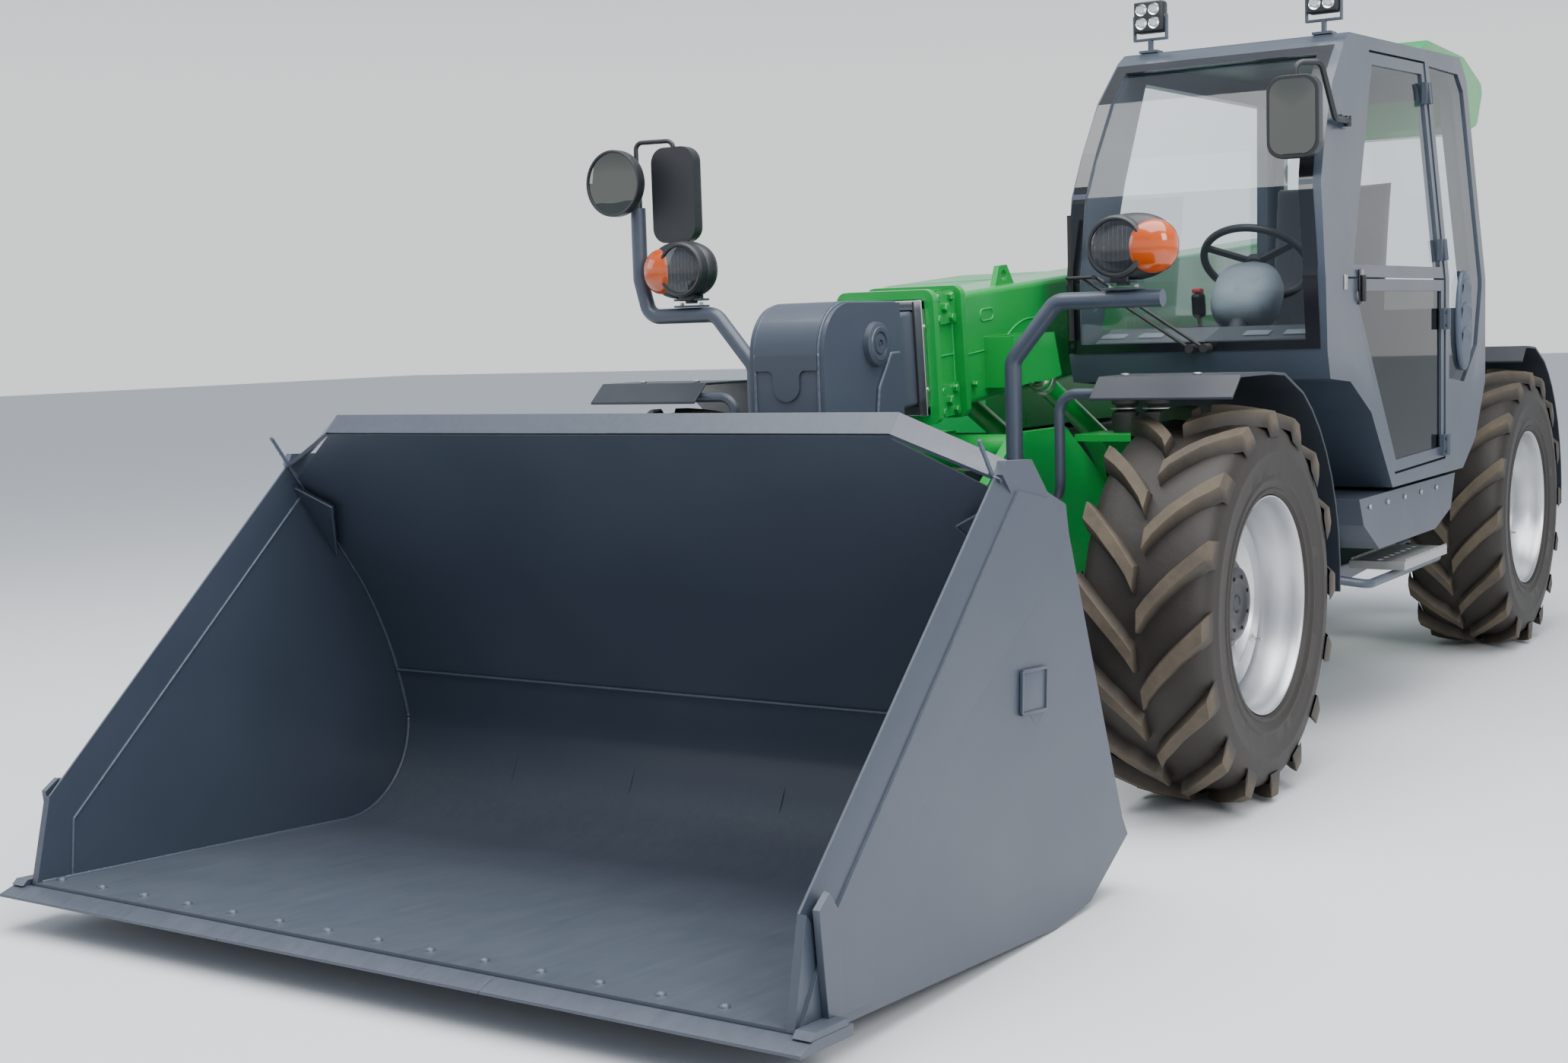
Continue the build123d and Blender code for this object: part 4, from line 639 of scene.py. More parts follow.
boom_details = []
for side in (1.0, -1.0):
    def on_flank(y, z, side=side):
        """A place on the boom's flank, along it from the pivot and up from its axis."""
        return along_boom @ Vector((side * (BOOM_HALF + 0.0006), y, z))

    boom_details.append(weld_bead("flank_weld", [on_flank(COLLAR_BACK + 0.03, -0.02), on_flank(-2.9, -0.012)],
                                  0.0035, weld_green))
    boom_details.append(weld_bead("gusset_weld", arc_points((-2.86, -0.3), 0.36, 128, 62, 24, on_flank),
                                  0.0035, weld_green))
    slot_line = arc_points((-3.15, 0.1), 0.019, -90, 90, 10, on_flank)
    slot_line += arc_points((-3.205, 0.1), 0.019, 90, 270, 10, on_flank)
    boom_details.append(weld_bead("slot_weld", slot_line, 0.0035, weld_green, True))
    for flange in (COLLAR_FRONT, COLLAR_BACK, COLLAR_BACK + 0.03):
        boom_details.append(weld_bead("flange_weld", [on_flank(flange, -0.155), on_flank(flange, 0.155)],
                                      0.005, weld_green))
    boom_details.append(weld_bead("rib_weld", [on_flank(COLLAR_FRONT, -0.006), on_flank(COLLAR_BACK, -0.006)],
                                  0.0045, weld_green))
    clip = along_boom @ Vector((side * (BOOM_HALF + 0.002), -3.3, -0.12))
    boom_details.append(hex_head("clip_boss", clip, along_boom.to_3x3() @ Vector((side, 0, 0)), 0.02, 0.016,
                                 bright_green))
    for middle in (-0.149, 0.149):
        for lengthwise in (-0.0455, 0.0455):
            for up in (-0.034, 0.034):
                place = along_boom @ Vector((side * (BOOM_HALF + 0.0165),
                                             (COLLAR_FRONT + COLLAR_BACK) / 2 + lengthwise, middle + up))
                boom_details.append(hex_head("pad_bolt", place, (side, 0, 0), 0.024, 0.013, bright_green,
                                             up * 40 + lengthwise * 9))
        place = along_boom @ Vector((side * (BOOM_HALF + 0.0165), (COLLAR_FRONT + COLLAR_BACK) / 2, middle))
        boom_details.append(hex_head("pad_screw", place, (side, 0, 0), 0.028, 0.017, bright_green, 0.3))
fixed(joined("boom_welds_and_bolts", boom_details), "boom", "green_paint")

# Bristles, plastics and rubber share one moulded grain.
grained, g_in, g_out = effect_group("moulded_grain", [("Scale", FLOAT, 500.0), ("Depth", FLOAT, 0.25)],
                                    [("Normal", VECTOR)])
g_where = grained.nodes.new("ShaderNodeTexCoord")
g_cells = grained.nodes.new("ShaderNodeTexVoronoi")
grained.links.new(g_where.outputs["Object"], g_cells.inputs["Vector"])
grained.links.new(g_in.outputs["Scale"], g_cells.inputs["Scale"])
g_bump = placed_node(grained.nodes, "ShaderNodeBump", Distance=0.0006)
grained.links.new(g_in.outputs["Depth"], g_bump.inputs["Strength"])
grained.links.new(g_cells.outputs["Distance"], g_bump.inputs["Height"])
grained.links.new(g_bump.outputs["Normal"], g_out.inputs["Normal"])


def moulded(name, colour, roughness=0.5, dust=0.25, scale=500.0, depth=0.25):
    """Moulded plastic or rubber: a fine grain with dust lying in it."""
    material, nodes, links, shader = principled(name, colour, roughness)
    skin = place_group(nodes, grained, Scale=scale, Depth=depth)
    film = place_group(nodes, dusty, Colour=colour, Dust=(0.25, 0.24, 0.22), Amount=dust, Roughness=roughness)
    links.new(film.outputs["Colour"], shader.inputs["Base Color"])
    links.new(film.outputs["Roughness"], shader.inputs["Roughness"])
    links.new(skin.outputs["Normal"], shader.inputs["Normal"])
    return material


holder_bright = bright_metal("holder_bright", (0.62, 0.63, 0.64), 0.3)
bristle_black = moulded("bristle_black", (0.012, 0.012, 0.012), 0.8, 0.1, 900.0, 0.4)


def frame_bar(name, x0, x1, y0, y1, z0, z1, material, rounding, place=Matrix.Identity(4)):
    """A bar with broken edges between two corners, in a place's own frame."""
    corners = [(x, y, z) for x in (x0, x1) for y in (y0, y1) for z in (z0, z1)]
    faces = [(0, 1, 3, 2), (4, 6, 7, 5), (0, 4, 5, 1), (2, 3, 7, 6), (0, 2, 6, 4), (1, 5, 7, 3)]
    shape = bmesh.new()
    points = [shape.verts.new(corner) for corner in corners]
    for face in faces:
        shape.faces.new([points[i] for i in face])
    bmesh.ops.recalc_face_normals(shape, faces=shape.faces)
    bmesh.ops.bevel(shape, geom=list(shape.edges), offset=rounding, segments=3, profile=0.5, affect="EDGES",
                    clamp_overlap=True)
    shape.transform(place)
    mesh = bpy.data.meshes.new(name)
    shape.to_mesh(mesh)
    shape.free()
    mesh.materials.append(material)
    mesh.polygons.foreach_set("use_smooth", [True] * len(mesh.polygons))
    mesh.set_sharp_from_angle(angle=radians(50))
    piece = bpy.data.objects.new(name, mesh)
    bpy.context.scene.collection.objects.link(piece)
    return piece


scraper = []
MOUTH_Y = -BOOM_REACH - 0.013
for side in (1.0, -1.0):
    near, far = side * 0.117, side * 0.147
    scraper.append(frame_bar("bristles", side * 0.1135, side * 0.121, MOUTH_Y - 0.022, MOUTH_Y - 0.002, -0.18,
                             0.18, bristle_black, 0.001, along_boom))
    scraper.append(frame_bar("holder", near, far, MOUTH_Y - 0.0215, MOUTH_Y - 0.0005, -0.184, 0.184,
                             holder_bright, 0.002, along_boom))
    for up in (-0.1, 0.1):
        place = along_boom @ Vector((far, MOUTH_Y - 0.012, up))
        scraper.append(hex_head("holder_screw", place, (side, 0, 0), 0.012, 0.005, nut_zinc, up))
    scraper.append(frame_bar("holder_end", -0.147, 0.147, MOUTH_Y - 0.02, MOUTH_Y - 0.001, side * 0.154,
                             side * 0.183, holder_bright, 0.002, along_boom))
fixed(joined("boom_scraper", scraper), "boom", "chrome", "boom_wiper")

# ==== sliding section and boom head ====
# The inner section slides out of the base. Its cranked head is two thick cheeks with a rolled front
# plate welded between them, a cover with a tongue, bosses for the hose pin and bevelled doublers.
for node, rounding in (("boom_inner", 0.004), ("boom_head", 0.004)):
    dressed(node, slate, rounding)
HEAD_HALF, HEAD_FRONT, HEAD_REAR, HEAD_TOP, HEAD_ROLL = 0.131, -0.8, -0.345, 1.55, 0.15
COVER_EDGE, TONGUE_DEPTH, TONGUE_HALF, TONGUE_FILLET = 1.355, 0.092, 0.046, 0.02
PLATE_HALF = HEAD_HALF - 0.022
head_details = []


def head_outline(lift, foot):
    """The rolled front plate's line from a height up over the top, lifted off it a little."""
    line = [at(0, HEAD_FRONT - lift, foot), at(0, HEAD_FRONT - lift, HEAD_TOP - HEAD_ROLL)]
    line += arc_points((HEAD_FRONT + HEAD_ROLL, HEAD_TOP - HEAD_ROLL), HEAD_ROLL + lift, 180, 90, 14,
                       lambda y, z: at(0, y, z))
    return line + [at(0, HEAD_REAR - 0.002, HEAD_TOP + lift)]


for side in (1.0, -1.0):
    line = [p + Vector((side * (PLATE_HALF + 0.003), 0, 0)) for p in head_outline(0.001, 0.75)]
    head_details.append(weld_bead("plate_weld", line, 0.0055, weld_steel))
    doubler = [at(side * (HEAD_HALF + 0.0045), y, z) for y,
               z in ((HEAD_REAR - 0.02, 1.394), (HEAD_REAR - 0.072, 1.392), (-0.492, 1.29), (-0.562, 0.86))]
    head_details.append(weld_bead("doubler_weld", doubler, 0.0075, weld_steel))
    boss = [(0.0, 0.004), (0.006, 0.004), (0.007, 0.0), (0.012, 0.0), (0.013, 0.006), (0.03, 0.006),
            (0.032, 0.001), (0.036, 0.001), (0.038, 0.007),
            (0.05, 0.007), (0.053, 0.004), (0.062, 0.0035), (0.066, 0.001), (0.069, -0.016)]
    head_details.append(turned("pin_boss", boss, at(side * (HEAD_HALF + 0.0165), -0.505, 1.425), slate, side,
                               48, 30))


def cover_outline():
    """The cover's lower edge across the plate: straight, with a round-ended tongue in the middle."""
    half, fillet = TONGUE_HALF, TONGUE_FILLET
    left = [(-PLATE_HALF, 0.0)] + [(-half - fillet + fillet * sin(a), -fillet + fillet * cos(a))
                                   for a in (0.0, 0.4, 0.8, 1.2, pi / 2)]
    tip = [(-half * cos(a), -(TONGUE_DEPTH - half) - half * sin(a)) for a in [pi * i / 16 for i in range(17)]]
    right = [(-x, z) for x, z in reversed(left)]
    return left + tip + right


cover_edge = cover_outline()
COVER_T = 0.006
profile = head_outline(COVER_T, COVER_EDGE)
points, faces = [], []
for row in profile:
    points += [row + Vector((x, 0, 0)) for x in (-PLATE_HALF, PLATE_HALF)]
faces += [(2 * i, 2 * i + 1, 2 * i + 3, 2 * i + 2) for i in range(len(profile) - 1)]
tongue_first = len(points)
points += [at(x, HEAD_FRONT - COVER_T, COVER_EDGE + z) for x, z in cover_edge]
faces.append(tuple(range(tongue_first, len(points))))
cover = mesh_object("cover", points, faces, slate)
thick = cover.modifiers.new("sheet", "SOLIDIFY")
thick.thickness, thick.offset = COVER_T - 0.0005, -1.0
bpy.context.view_layer.update()
cover.data = bpy.data.meshes.new_from_object(cover.evaluated_get(bpy.context.evaluated_depsgraph_get()))
cover.modifiers.clear()
cover.data.set_sharp_from_angle(angle=radians(35))
head_details.append(cover)
fixed(joined("head_welds_and_bosses", head_details), "boom_slide", "slate_paint")

# ==== lift and tilt cylinders ====
# Honed barrels sprayed with the frame, hard chromed rods, and a bright gland nut at each mouth.
chrome = bright_metal("hard_chrome", (0.72, 0.73, 0.74), 0.12, 0.02)
dressed("lift_barrel", bright_green, 0.002)
dressed("tilt_barrel", cast_black, 0.002)
dressed("lift_rod", chrome, 0.001)
dressed("tilt_rod", chrome, 0.001)
LIFT_BASE, LIFT_EYE, LIFT_X = (2.05, 0.56), (0.392, 1.335), 0.191
TILT_BASE, TILT_EYE = (-0.48, 1.25), (-0.905, 0.6)
LIFT_GLAND, TILT_GLAND = 0.13, 0.6


def gland_nut(name, base, eye, x, from_base, radius):
    """The bright nut that closes a barrel's mouth, with a lip seal."""
    run = at(0, *eye) - at(0, *base)
    mouth = Matrix.Translation(at(x, *base) + run.normalized() * from_base)
    place = mouth @ run.to_track_quat("X", "Z").to_matrix().to_4x4()
    profile = [(radius * 0.56, 0.012), (radius * 0.7, 0.014), (radius * 0.74, 0.008), (radius, 0.006),
               (radius * 1.06, 0.0), (radius * 1.06, -0.014),
               (radius * 1.2, -0.016), (radius * 1.22, -0.02), (radius * 1.22, -0.04), (radius * 1.1, -0.044)]
    nut = turned(name, profile, Vector((0, 0, 0)), nut_zinc, 1.0, 48, 30)
    nut.data.transform(place)
    return nut


lift_run = hypot(LIFT_EYE[0] - LIFT_BASE[0], LIFT_EYE[1] - LIFT_BASE[1])
nuts = [gland_nut("gland", LIFT_BASE, LIFT_EYE, x, lift_run - LIFT_GLAND, 0.037) for x in (LIFT_X, -LIFT_X)]
fixed(joined("lift_gland_nuts", nuts), "lift_barrels", "zinc")
fixed(gland_nut("tilt_gland_nut", TILT_BASE, TILT_EYE, 0.0, TILT_GLAND, 0.045), "tilt_barrel_body", "zinc")

# ==== bucket and quick hitch ====
# A rolled floor and back with thick side plates, welded all round and sprayed slate. The lip is folded
# over the top, the blade is bolted through the floor, and pushed material has dulled the floor.
HEEL = Matrix.Translation(at(0, -1.476, 0.004)) @ Matrix.Rotation(radians(-4), 4, "X")
SIDE_INNER, SHEET_TOP = 1.15, 0.034


def bucket_place(x, u, v):
    """A place in the bucket's own level frame: across, forward from the heel, and up."""
    return HEEL @ Vector((x, -u, v))


bucket_slate, b_nodes, b_links, b_shader = principled("bucket_slate", (0.036, 0.048, 0.072), 0.4, 0.0, 0.25)
b_shader.inputs["Coat Roughness"].default_value = 0.35
b_spray = place_group(b_nodes, sprayed, Colour=(0.036, 0.048, 0.072), Tone=0.22, Peel=0.25, Roughness=0.42)
# The bluish grey laid on what faces up is partly dust and partly a painted sky sheen that lightens the floor.
b_dust_and_sky_sheen = place_group(b_nodes, dusty, Dust=(0.12, 0.13, 0.145), Amount=0.2, Scale=5.0)
b_where = b_nodes.new("ShaderNodeTexCoord")
b_stretch = placed_node(b_nodes, "ShaderNodeMapping", Scale=(60.0, 2.5, 60.0))
b_links.new(b_where.outputs["Object"], b_stretch.inputs["Vector"])
b_scuff = placed_node(b_nodes, "ShaderNodeTexNoise", Scale=1.0, Detail=4.0)
b_links.new(b_stretch.outputs["Vector"], b_scuff.inputs["Vector"])
b_face = b_nodes.new("ShaderNodeNewGeometry")
b_split = b_nodes.new("ShaderNodeSeparateXYZ")
b_links.new(b_face.outputs["Normal"], b_split.inputs["Vector"])
b_flat = math_node(b_nodes, b_links, "MULTIPLY", b_split.outputs["Z"], 0.16, True)
b_streak = math_node(b_nodes, b_links, "MULTIPLY", b_flat, b_scuff.outputs["Fac"], True)
b_rubbed = placed_node(b_nodes, "ShaderNodeMixRGB", Color2=(0.3, 0.32, 0.35, 1))
b_links.new(b_spray.outputs["Colour"], b_dust_and_sky_sheen.inputs["Colour"])
b_links.new(b_dust_and_sky_sheen.outputs["Colour"], b_rubbed.inputs["Color1"])
b_links.new(b_streak, b_rubbed.inputs["Fac"])
b_links.new(b_rubbed.outputs["Color"], b_shader.inputs["Base Color"])
b_links.new(b_spray.outputs["Roughness"], b_dust_and_sky_sheen.inputs["Roughness"])
b_links.new(b_dust_and_sky_sheen.outputs["Roughness"], b_shader.inputs["Roughness"])
b_links.new(b_spray.outputs["Normal"], b_shader.inputs["Normal"])
for node, rounding in (("bucket_shell", 0.003), ("bucket_sides", 0.003), ("bucket_lip", 0.0),
                       ("cutting_edge", 0.0015), ("hitch", 0.004)):
    dressed(node, bucket_slate, rounding)

FLOOR_LINE = [(1.165, SHEET_TOP), (0.12, SHEET_TOP)]


def three_point_arc(a, b, c, steps):
    """Points along the circle through three points, from the first to the last."""
    ax, ay, bx, by, cx, cy = *a, *b, *c
    d = 2 * (ax * (by - cy) + bx * (cy - ay) + cx * (ay - by))
    aa, bb, cc = ax * ax + ay * ay, bx * bx + by * by, cx * cx + cy * cy
    ux = (aa * (by - cy) + bb * (cy - ay) + cc * (ay - by)) / d
    uy = (aa * (cx - bx) + bb * (ax - cx) + cc * (bx - ax)) / d
    radius = hypot(ax - ux, ay - uy)
    first, last = atan2(ay - uy, ax - ux), atan2(cy - uy, cx - ux)
    middle = atan2(by - uy, bx - ux)
    if not min(first, last) <= middle <= max(first, last):
        last += 2 * pi if last < first else -2 * pi
    return [(ux + radius * cos(first + (last - first) * i / steps),
             uy + radius * sin(first + (last - first) * i / steps))
            for i in range(steps + 1)]


BACK_LINE = three_point_arc((0.09, SHEET_TOP), (-0.122, 0.135), (-0.18, 0.321), 14)
BACK_LINE += three_point_arc((-0.18, 0.321), (-0.073, 0.602), (0.03, 0.768), 10)[1:] + [(0.382, 1.186)]
EDGE_TOP, EDGE_KNEE, EDGE_BAND = (0.314, 1.108), (1.137, 0.253), 0.1
welds = []
for side in (1.0, -1.0):
    corner = [bucket_place(side * (SIDE_INNER - 0.004), u, v) for u, v in FLOOR_LINE[:1] + BACK_LINE]
    welds.append(weld_bead("corner_weld", corner, 0.0065, weld_steel))
    run = Vector((EDGE_KNEE[0] - EDGE_TOP[0], EDGE_KNEE[1] - EDGE_TOP[1])).normalized()
    inward = Vector((run.y, -run.x)) * EDGE_BAND
    band = [(EDGE_TOP[0] + inward.x + run.x * 0.03, EDGE_TOP[1] + inward.y + run.y * 0.03),
            (EDGE_KNEE[0] + inward.x, EDGE_KNEE[1] + inward.y), (1.07, SHEET_TOP)]
    welds.append(weld_bead("band_weld", [bucket_place(side * (SIDE_INNER - 0.001), u, v) for u, v in band],
                           0.0045, weld_steel))
    overlay = [(0.08, 1.05), (0.0, 0.96), (0.14, 0.812), (0.555, 0.52), (0.864, 0.25), (0.9, 0.03)]
    welds.append(weld_bead("overlay_weld", [bucket_place(side * 1.1745, u, v) for u, v in overlay], 0.004,
                           weld_steel))
    cutter = [(1.04, 0.035), (1.04, 0.235), (1.086, 0.29)]
    welds.append(weld_bead("cutter_weld", [bucket_place(side * 1.1805, u, v) for u, v in cutter], 0.0055,
                           weld_steel))
    gusset = [bucket_place(side * (SIDE_INNER - 0.004), 0.292, 1.04),
              bucket_place(side * (SIDE_INNER - 0.124), 0.262, 0.985),
              bucket_place(side * (SIDE_INNER - 0.004), 0.124, 0.836)]
    welds.append(weld_bead("gusset_weld", gusset, 0.004, weld_steel))
welds.append(weld_bead("back_weld", [bucket_place(x, -0.126, 0.471)
                                     for x in (-SIDE_INNER + 0.005, SIDE_INNER - 0.005)], 0.0055, weld_steel))
fixed(joined("bucket_welds", welds), "bucket", "slate_paint")

# ---- domed plough bolts: pressed heads, painted over and rubbed by the load
BOLTS, BOLT_SPREAD, BOLT_LINE = 15, 1.128, 1.12
heads = []
for i in range(BOLTS):
    place = HEEL @ Vector((-BOLT_SPREAD + i * 2 * BOLT_SPREAD / (BOLTS - 1), -BOLT_LINE, SHEET_TOP + 0.0005))
    dome = [(0.0, 0.0085), (0.004, 0.0082), (0.008, 0.0068), (0.0115, 0.0042), (0.0135, 0.0),
            (0.0155, -0.0005)]
    head = turned("bolt", dome, Vector((0, 0, 0)), bucket_slate, 1.0, 24, 50)
    turned_up = Vector((0, 0, 1)).to_track_quat("X", "Z").to_matrix().to_4x4()
    head.data.transform(Matrix.Translation(place) @ turned_up)
    heads.append(head)
fixed(joined("blade_bolts", heads), "bucket", "wear_steel", "edge_bolts")

# ---- blank plaque: an upright plate with a raised frame on each side plate
PLAQUE_W, PLAQUE_H, PLAQUE_REACH = 0.128, 0.1, 0.11
SIDE_OUTER = 1.172
plates = next(piece for piece in bpy.data.objects if piece.name == "bucket_sides_dressed")
plaque_middle = bucket_place(0, 0.15, 0.598)
for vertex in plates.data.vertices:
    place = plates.matrix_world @ vertex.co
    if abs(place.x) > SIDE_OUTER + 0.0004 and (Vector((0, place.y,
                                                       place.z)) - plaque_middle).length < PLAQUE_REACH:
        vertex.co.x = SIDE_OUTER if place.x > 0 else -SIDE_OUTER
for side, hand in ((1.0, "left"), (-1.0, "right")):
    centre = HEEL @ Matrix.Translation((side * SIDE_OUTER, -0.15, 0.598))
    border = [frame_bar("plate", side * 0.0005, side * 0.006, -PLAQUE_W / 2, PLAQUE_W / 2, -PLAQUE_H / 2,
                        PLAQUE_H / 2, bucket_slate, 0.0022, centre)]
    for up in (-1, 1):
        border.append(frame_bar("bar", side * 0.001, side * 0.01, -PLAQUE_W / 2, PLAQUE_W / 2,
                                up * PLAQUE_H / 2 - 0.004, up * PLAQUE_H / 2 + 0.004, bucket_slate, 0.0015,
                                centre))
        border.append(frame_bar("bar", side * 0.001, side * 0.01, up * PLAQUE_W / 2 - 0.004,
                                up * PLAQUE_W / 2 + 0.004, -PLAQUE_H / 2, PLAQUE_H / 2, bucket_slate, 0.0015,
                                centre))
    fixed(joined("plaque_frame_" + hand, border), "bucket", "slate_paint")

# ==== cab frame and bonded glass ====
# A welded cab frame in slate enamel. The panes are bonded on, with a black printed border that hides
# the glue, and the lower door pane is tinted. Rubber seals run round every pane.
cab_slate = enamel("cab_slate", (0.038, 0.052, 0.076), 0.36, 0.3, 0.1)
dressed("cab_shell", cab_slate, 0.007, 3)
dressed("door_lower", cab_slate, 0.003)
dressed("door_upper", cab_slate, 0.003)
seal_rubber = moulded("seal_rubber", (0.012, 0.012, 0.013), 0.65, 0.1)
printed_black = enamel("printed_black", (0.006, 0.007, 0.01), 0.12, 0.5, 0.02, 0.05, 0.1)


def window_glass(name, colour, through=1.0):
    """Thin clear glass: mostly seen through, with a sky reflection that grows at a slant."""
    material, nodes, links, shader = principled(name, colour, 0.0)
    clear = placed_node(nodes, "ShaderNodeBsdfTransparent", Color=(*colour, 1))
    gloss = placed_node(nodes, "ShaderNodeBsdfGlossy", Roughness=0.02)
    edge = placed_node(nodes, "ShaderNodeFresnel", IOR=1.5)
    facing_in = nodes.new("ShaderNodeNewGeometry")
    outward = math_node(nodes, links, "SUBTRACT", 1.0, facing_in.outputs["Backfacing"])
    sheen = math_node(nodes, links, "MULTIPLY", edge.outputs["Fac"], outward)
    smear = placed_node(nodes, "ShaderNodeTexNoise", Scale=2.5)
    spread = math_node(nodes, links, "MULTIPLY", smear.outputs["Fac"], 0.02 * through)
    share = math_node(nodes, links, "ADD", sheen, spread, True)
    mix = nodes.new("ShaderNodeMixShader")
    links.new(share, mix.inputs["Fac"])
    links.new(clear.outputs["BSDF"], mix.inputs[1])
    links.new(gloss.outputs["BSDF"], mix.inputs[2])
    links.new(mix.outputs["Shader"], nodes["Material Output"].inputs["Surface"])
    return material


clear_pane = window_glass("clear_pane", (0.955, 0.98, 0.99))
tinted_pane = window_glass("tinted_pane", (0.30, 0.31, 0.30), 0.4)
CAB_MIDDLE = at(0.7, 1.62, 1.6)


def bordered(node, glass, border):
    """A node's panes with a printed border inside the outline of each outer face."""
    source = frame["nodes"][node]
    shape = bmesh.new()
    shape.from_mesh(source.data)
    bmesh.ops.remove_doubles(shape, verts=shape.verts, dist=2e-5)
    bmesh.ops.dissolve_limit(shape, angle_limit=radians(0.5), verts=shape.verts, edges=shape.edges)
    outer = [face for face in shape.faces if face.calc_area() > 0.02
             and face.normal.dot(face.calc_center_median() - CAB_MIDDLE) > 0]
    ring = bmesh.ops.inset_region(shape, faces=outer, thickness=border, use_even_offset=True,
                                  use_boundary=True)["faces"]
    printed = set(ring)
    for face in shape.faces:
        face.material_index = 1 if face in printed or face.calc_area() < 0.004 else 0
    mesh = bpy.data.meshes.new(node + "_bonded")
    shape.to_mesh(mesh)
    shape.free()
    for spare in ("custom_normal", "UVMap"):
        if spare in mesh.attributes:
            mesh.attributes.remove(mesh.attributes[spare])
    mesh.materials.clear()
    mesh.materials.append(glass)
    mesh.materials.append(printed_black)
    piece = bpy.data.objects.new(node + "_bonded", mesh)
    bpy.context.scene.collection.objects.link(piece)
    return fixed(piece, source["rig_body"], SLOTS[node], node)


bordered("cab_glass", clear_pane, 0.042)
bordered("door_glass_upper", clear_pane, 0.02)
bordered("door_glass_lower", tinted_pane, 0.02)

# ---- the windscreen's pane overlaps the frame all round, and its printed edge hides the glue
SKIN = [(0.622, 1.352), (0.606, 1.6), (0.655, 1.9), (0.735, 2.04), (0.88, 2.24), (1.06, 2.395)]
SCREEN_EDGE = [(0.3, 1.392), (1.098, 1.392), (1.092, 1.64), (1.012, 2.352), (0.316, 2.352), (0.306, 1.64)]
OVERLAP, BOND_T = 0.048, 0.004


def skin_y(z):
    """How far forward the cab's front stands at a height."""
    for (y0, z0), (y1, z1) in zip(SKIN, SKIN[1:]):
        if z <= z1:
            return y0 + (y1 - y0) * (z - z0) / (z1 - z0)
    return SKIN[-1][0]


edge_points, edge_faces = [], []
middle_x = 0.7
ringed = []
for (x0, z0), (x1, z1) in zip(SCREEN_EDGE, SCREEN_EDGE[1:] + SCREEN_EDGE[:1]):
    ringed += [(x0 + (x1 - x0) * i / 12, z0 + (z1 - z0) * i / 12) for i in range(12)]
for x, z in ringed:
    out_x = OVERLAP * (1 if x > middle_x + 0.25 else -1 if x < middle_x - 0.25 else (x - middle_x) / 0.25)
    out_z = 0.03 * (1 if z > 2.3 else -1 if z < 1.45 else 0)
    for reach, lift in ((0.0, 0.0), (0.0, BOND_T), (1.0, BOND_T), (1.0, 0.0)):
        there = z + out_z * reach
        edge_points.append(at(x + out_x * reach, skin_y(there) - lift, there))
count = len(ringed)
edge_faces = [(4 * i + j, 4 * i + j + 1, 4 * ((i + 1) % count) + j + 1, 4 * ((i + 1) % count) + j)
              for i in range(count) for j in range(3)]
fixed(mesh_object("windscreen_edge", edge_points, edge_faces, printed_black, False), "machine", "clear_glass")

# ---- the latch on the door, the pull inside it and the lock on the front post
latch = [frame_bar("plate", 1.1655, 1.1715, 0.955, 1.0, 1.5, 1.62, printed_black, 0.003, AXLE_FRAME),
         frame_bar("handle", 1.172, 1.184, 0.965, 0.99, 1.51, 1.6, seal_rubber, 0.005, AXLE_FRAME)]
fixed(joined("door_latch", latch), "door_lower", "black_plastic")
lock = [frame_bar("plate", 1.1675, 1.1725, 0.792, 0.822, 1.55, 1.6, nut_zinc, 0.003, AXLE_FRAME)]
fixed(joined("post_lock", lock), "machine", "zinc")

# ---- hinge leaves carry two screws each
screws = []
for height in (0.96, 1.44):
    for up in (-0.024, 0.024):
        screws.append(hex_head("hinge_screw", at(1.18, 1.991, height + up), (1, 0, 0), 0.011, 0.005,
                               seal_rubber, up * 50))
fixed(joined("lower_hinge_screws", screws), "door_lower", "black_plastic")

# ---- moulded intake: an oval boss with three curved blades
vent_slate = moulded("vent_plastic", (0.055, 0.075, 0.11), 0.42, 0.12)
dressed("vent_louvre", vent_slate, 0.004, 3)
blades = []
for row, (low, high, reach) in enumerate(((-0.13, -0.045, 0.062), (-0.035, 0.05, 0.07), (0.06, 0.14, 0.058))):
    points, faces = [], []
    for i in range(13):
        t = -1 + i / 6
        bow = 0.022 * (1 - t * t)
        for depth, height in ((0.002, low + bow), (0.012, high - 0.012 + bow), (0.011, high + bow),
                              (0.0, high + bow)):
            points.append(at(1.1725 + depth, 2.29 + reach * t, 1.43 + height))
    faces = [(4 * i + j, 4 * i + j + 1, 4 * i + j + 5, 4 * i + j + 4) for i in range(12) for j in range(3)]
    blades.append(mesh_object("blade", points, faces, vent_slate))
fixed(joined("vent_blades", blades), "machine", "black_plastic")

# ==== roof cowl, engine hood ====
# Glass fibre covers with thick green gelcoat, polished as they leave the mould.
gelcoat = enamel("green_gelcoat", (0.003, 0.33, 0.07), 0.3, 0.25, 0.03, 0.05, 0.1)
dressed("roof_cap", gelcoat, 0.028, 5)
dressed("hood", gelcoat, 0.014, 4)
grille_black = moulded("grille_black", (0.01, 0.01, 0.011), 0.6, 0.15)
slats = [frame_bar("slat", -1.0925, -1.086, 1.25, 2.35, z, z + 0.012, grille_black, 0.002, AXLE_FRAME)
         for z in [1.12 + 0.03 * i for i in range(10)]]
slats.append(frame_bar("grille_frame", -1.0912, -1.088, 1.22, 2.38, 1.1, 1.42, grille_black, 0.001,
                       AXLE_FRAME))
fixed(joined("hood_grille", slats), "hood", "black_plastic")
seam = [frame_bar("seam", -0.302, -0.2985, 1.08, 2.55, 1.44, 1.452, grille_black, 0.001, AXLE_FRAME)]
fixed(joined("hood_seam", seam), "hood", "black_plastic")
eye = weld_bead("roof_eye", arc_points((2.42, 2.545), 0.026, -20, 200, 14, lambda y, z: at(0.62, y, z)),
                0.006, gelcoat)
fixed(eye, "machine", "green_paint")

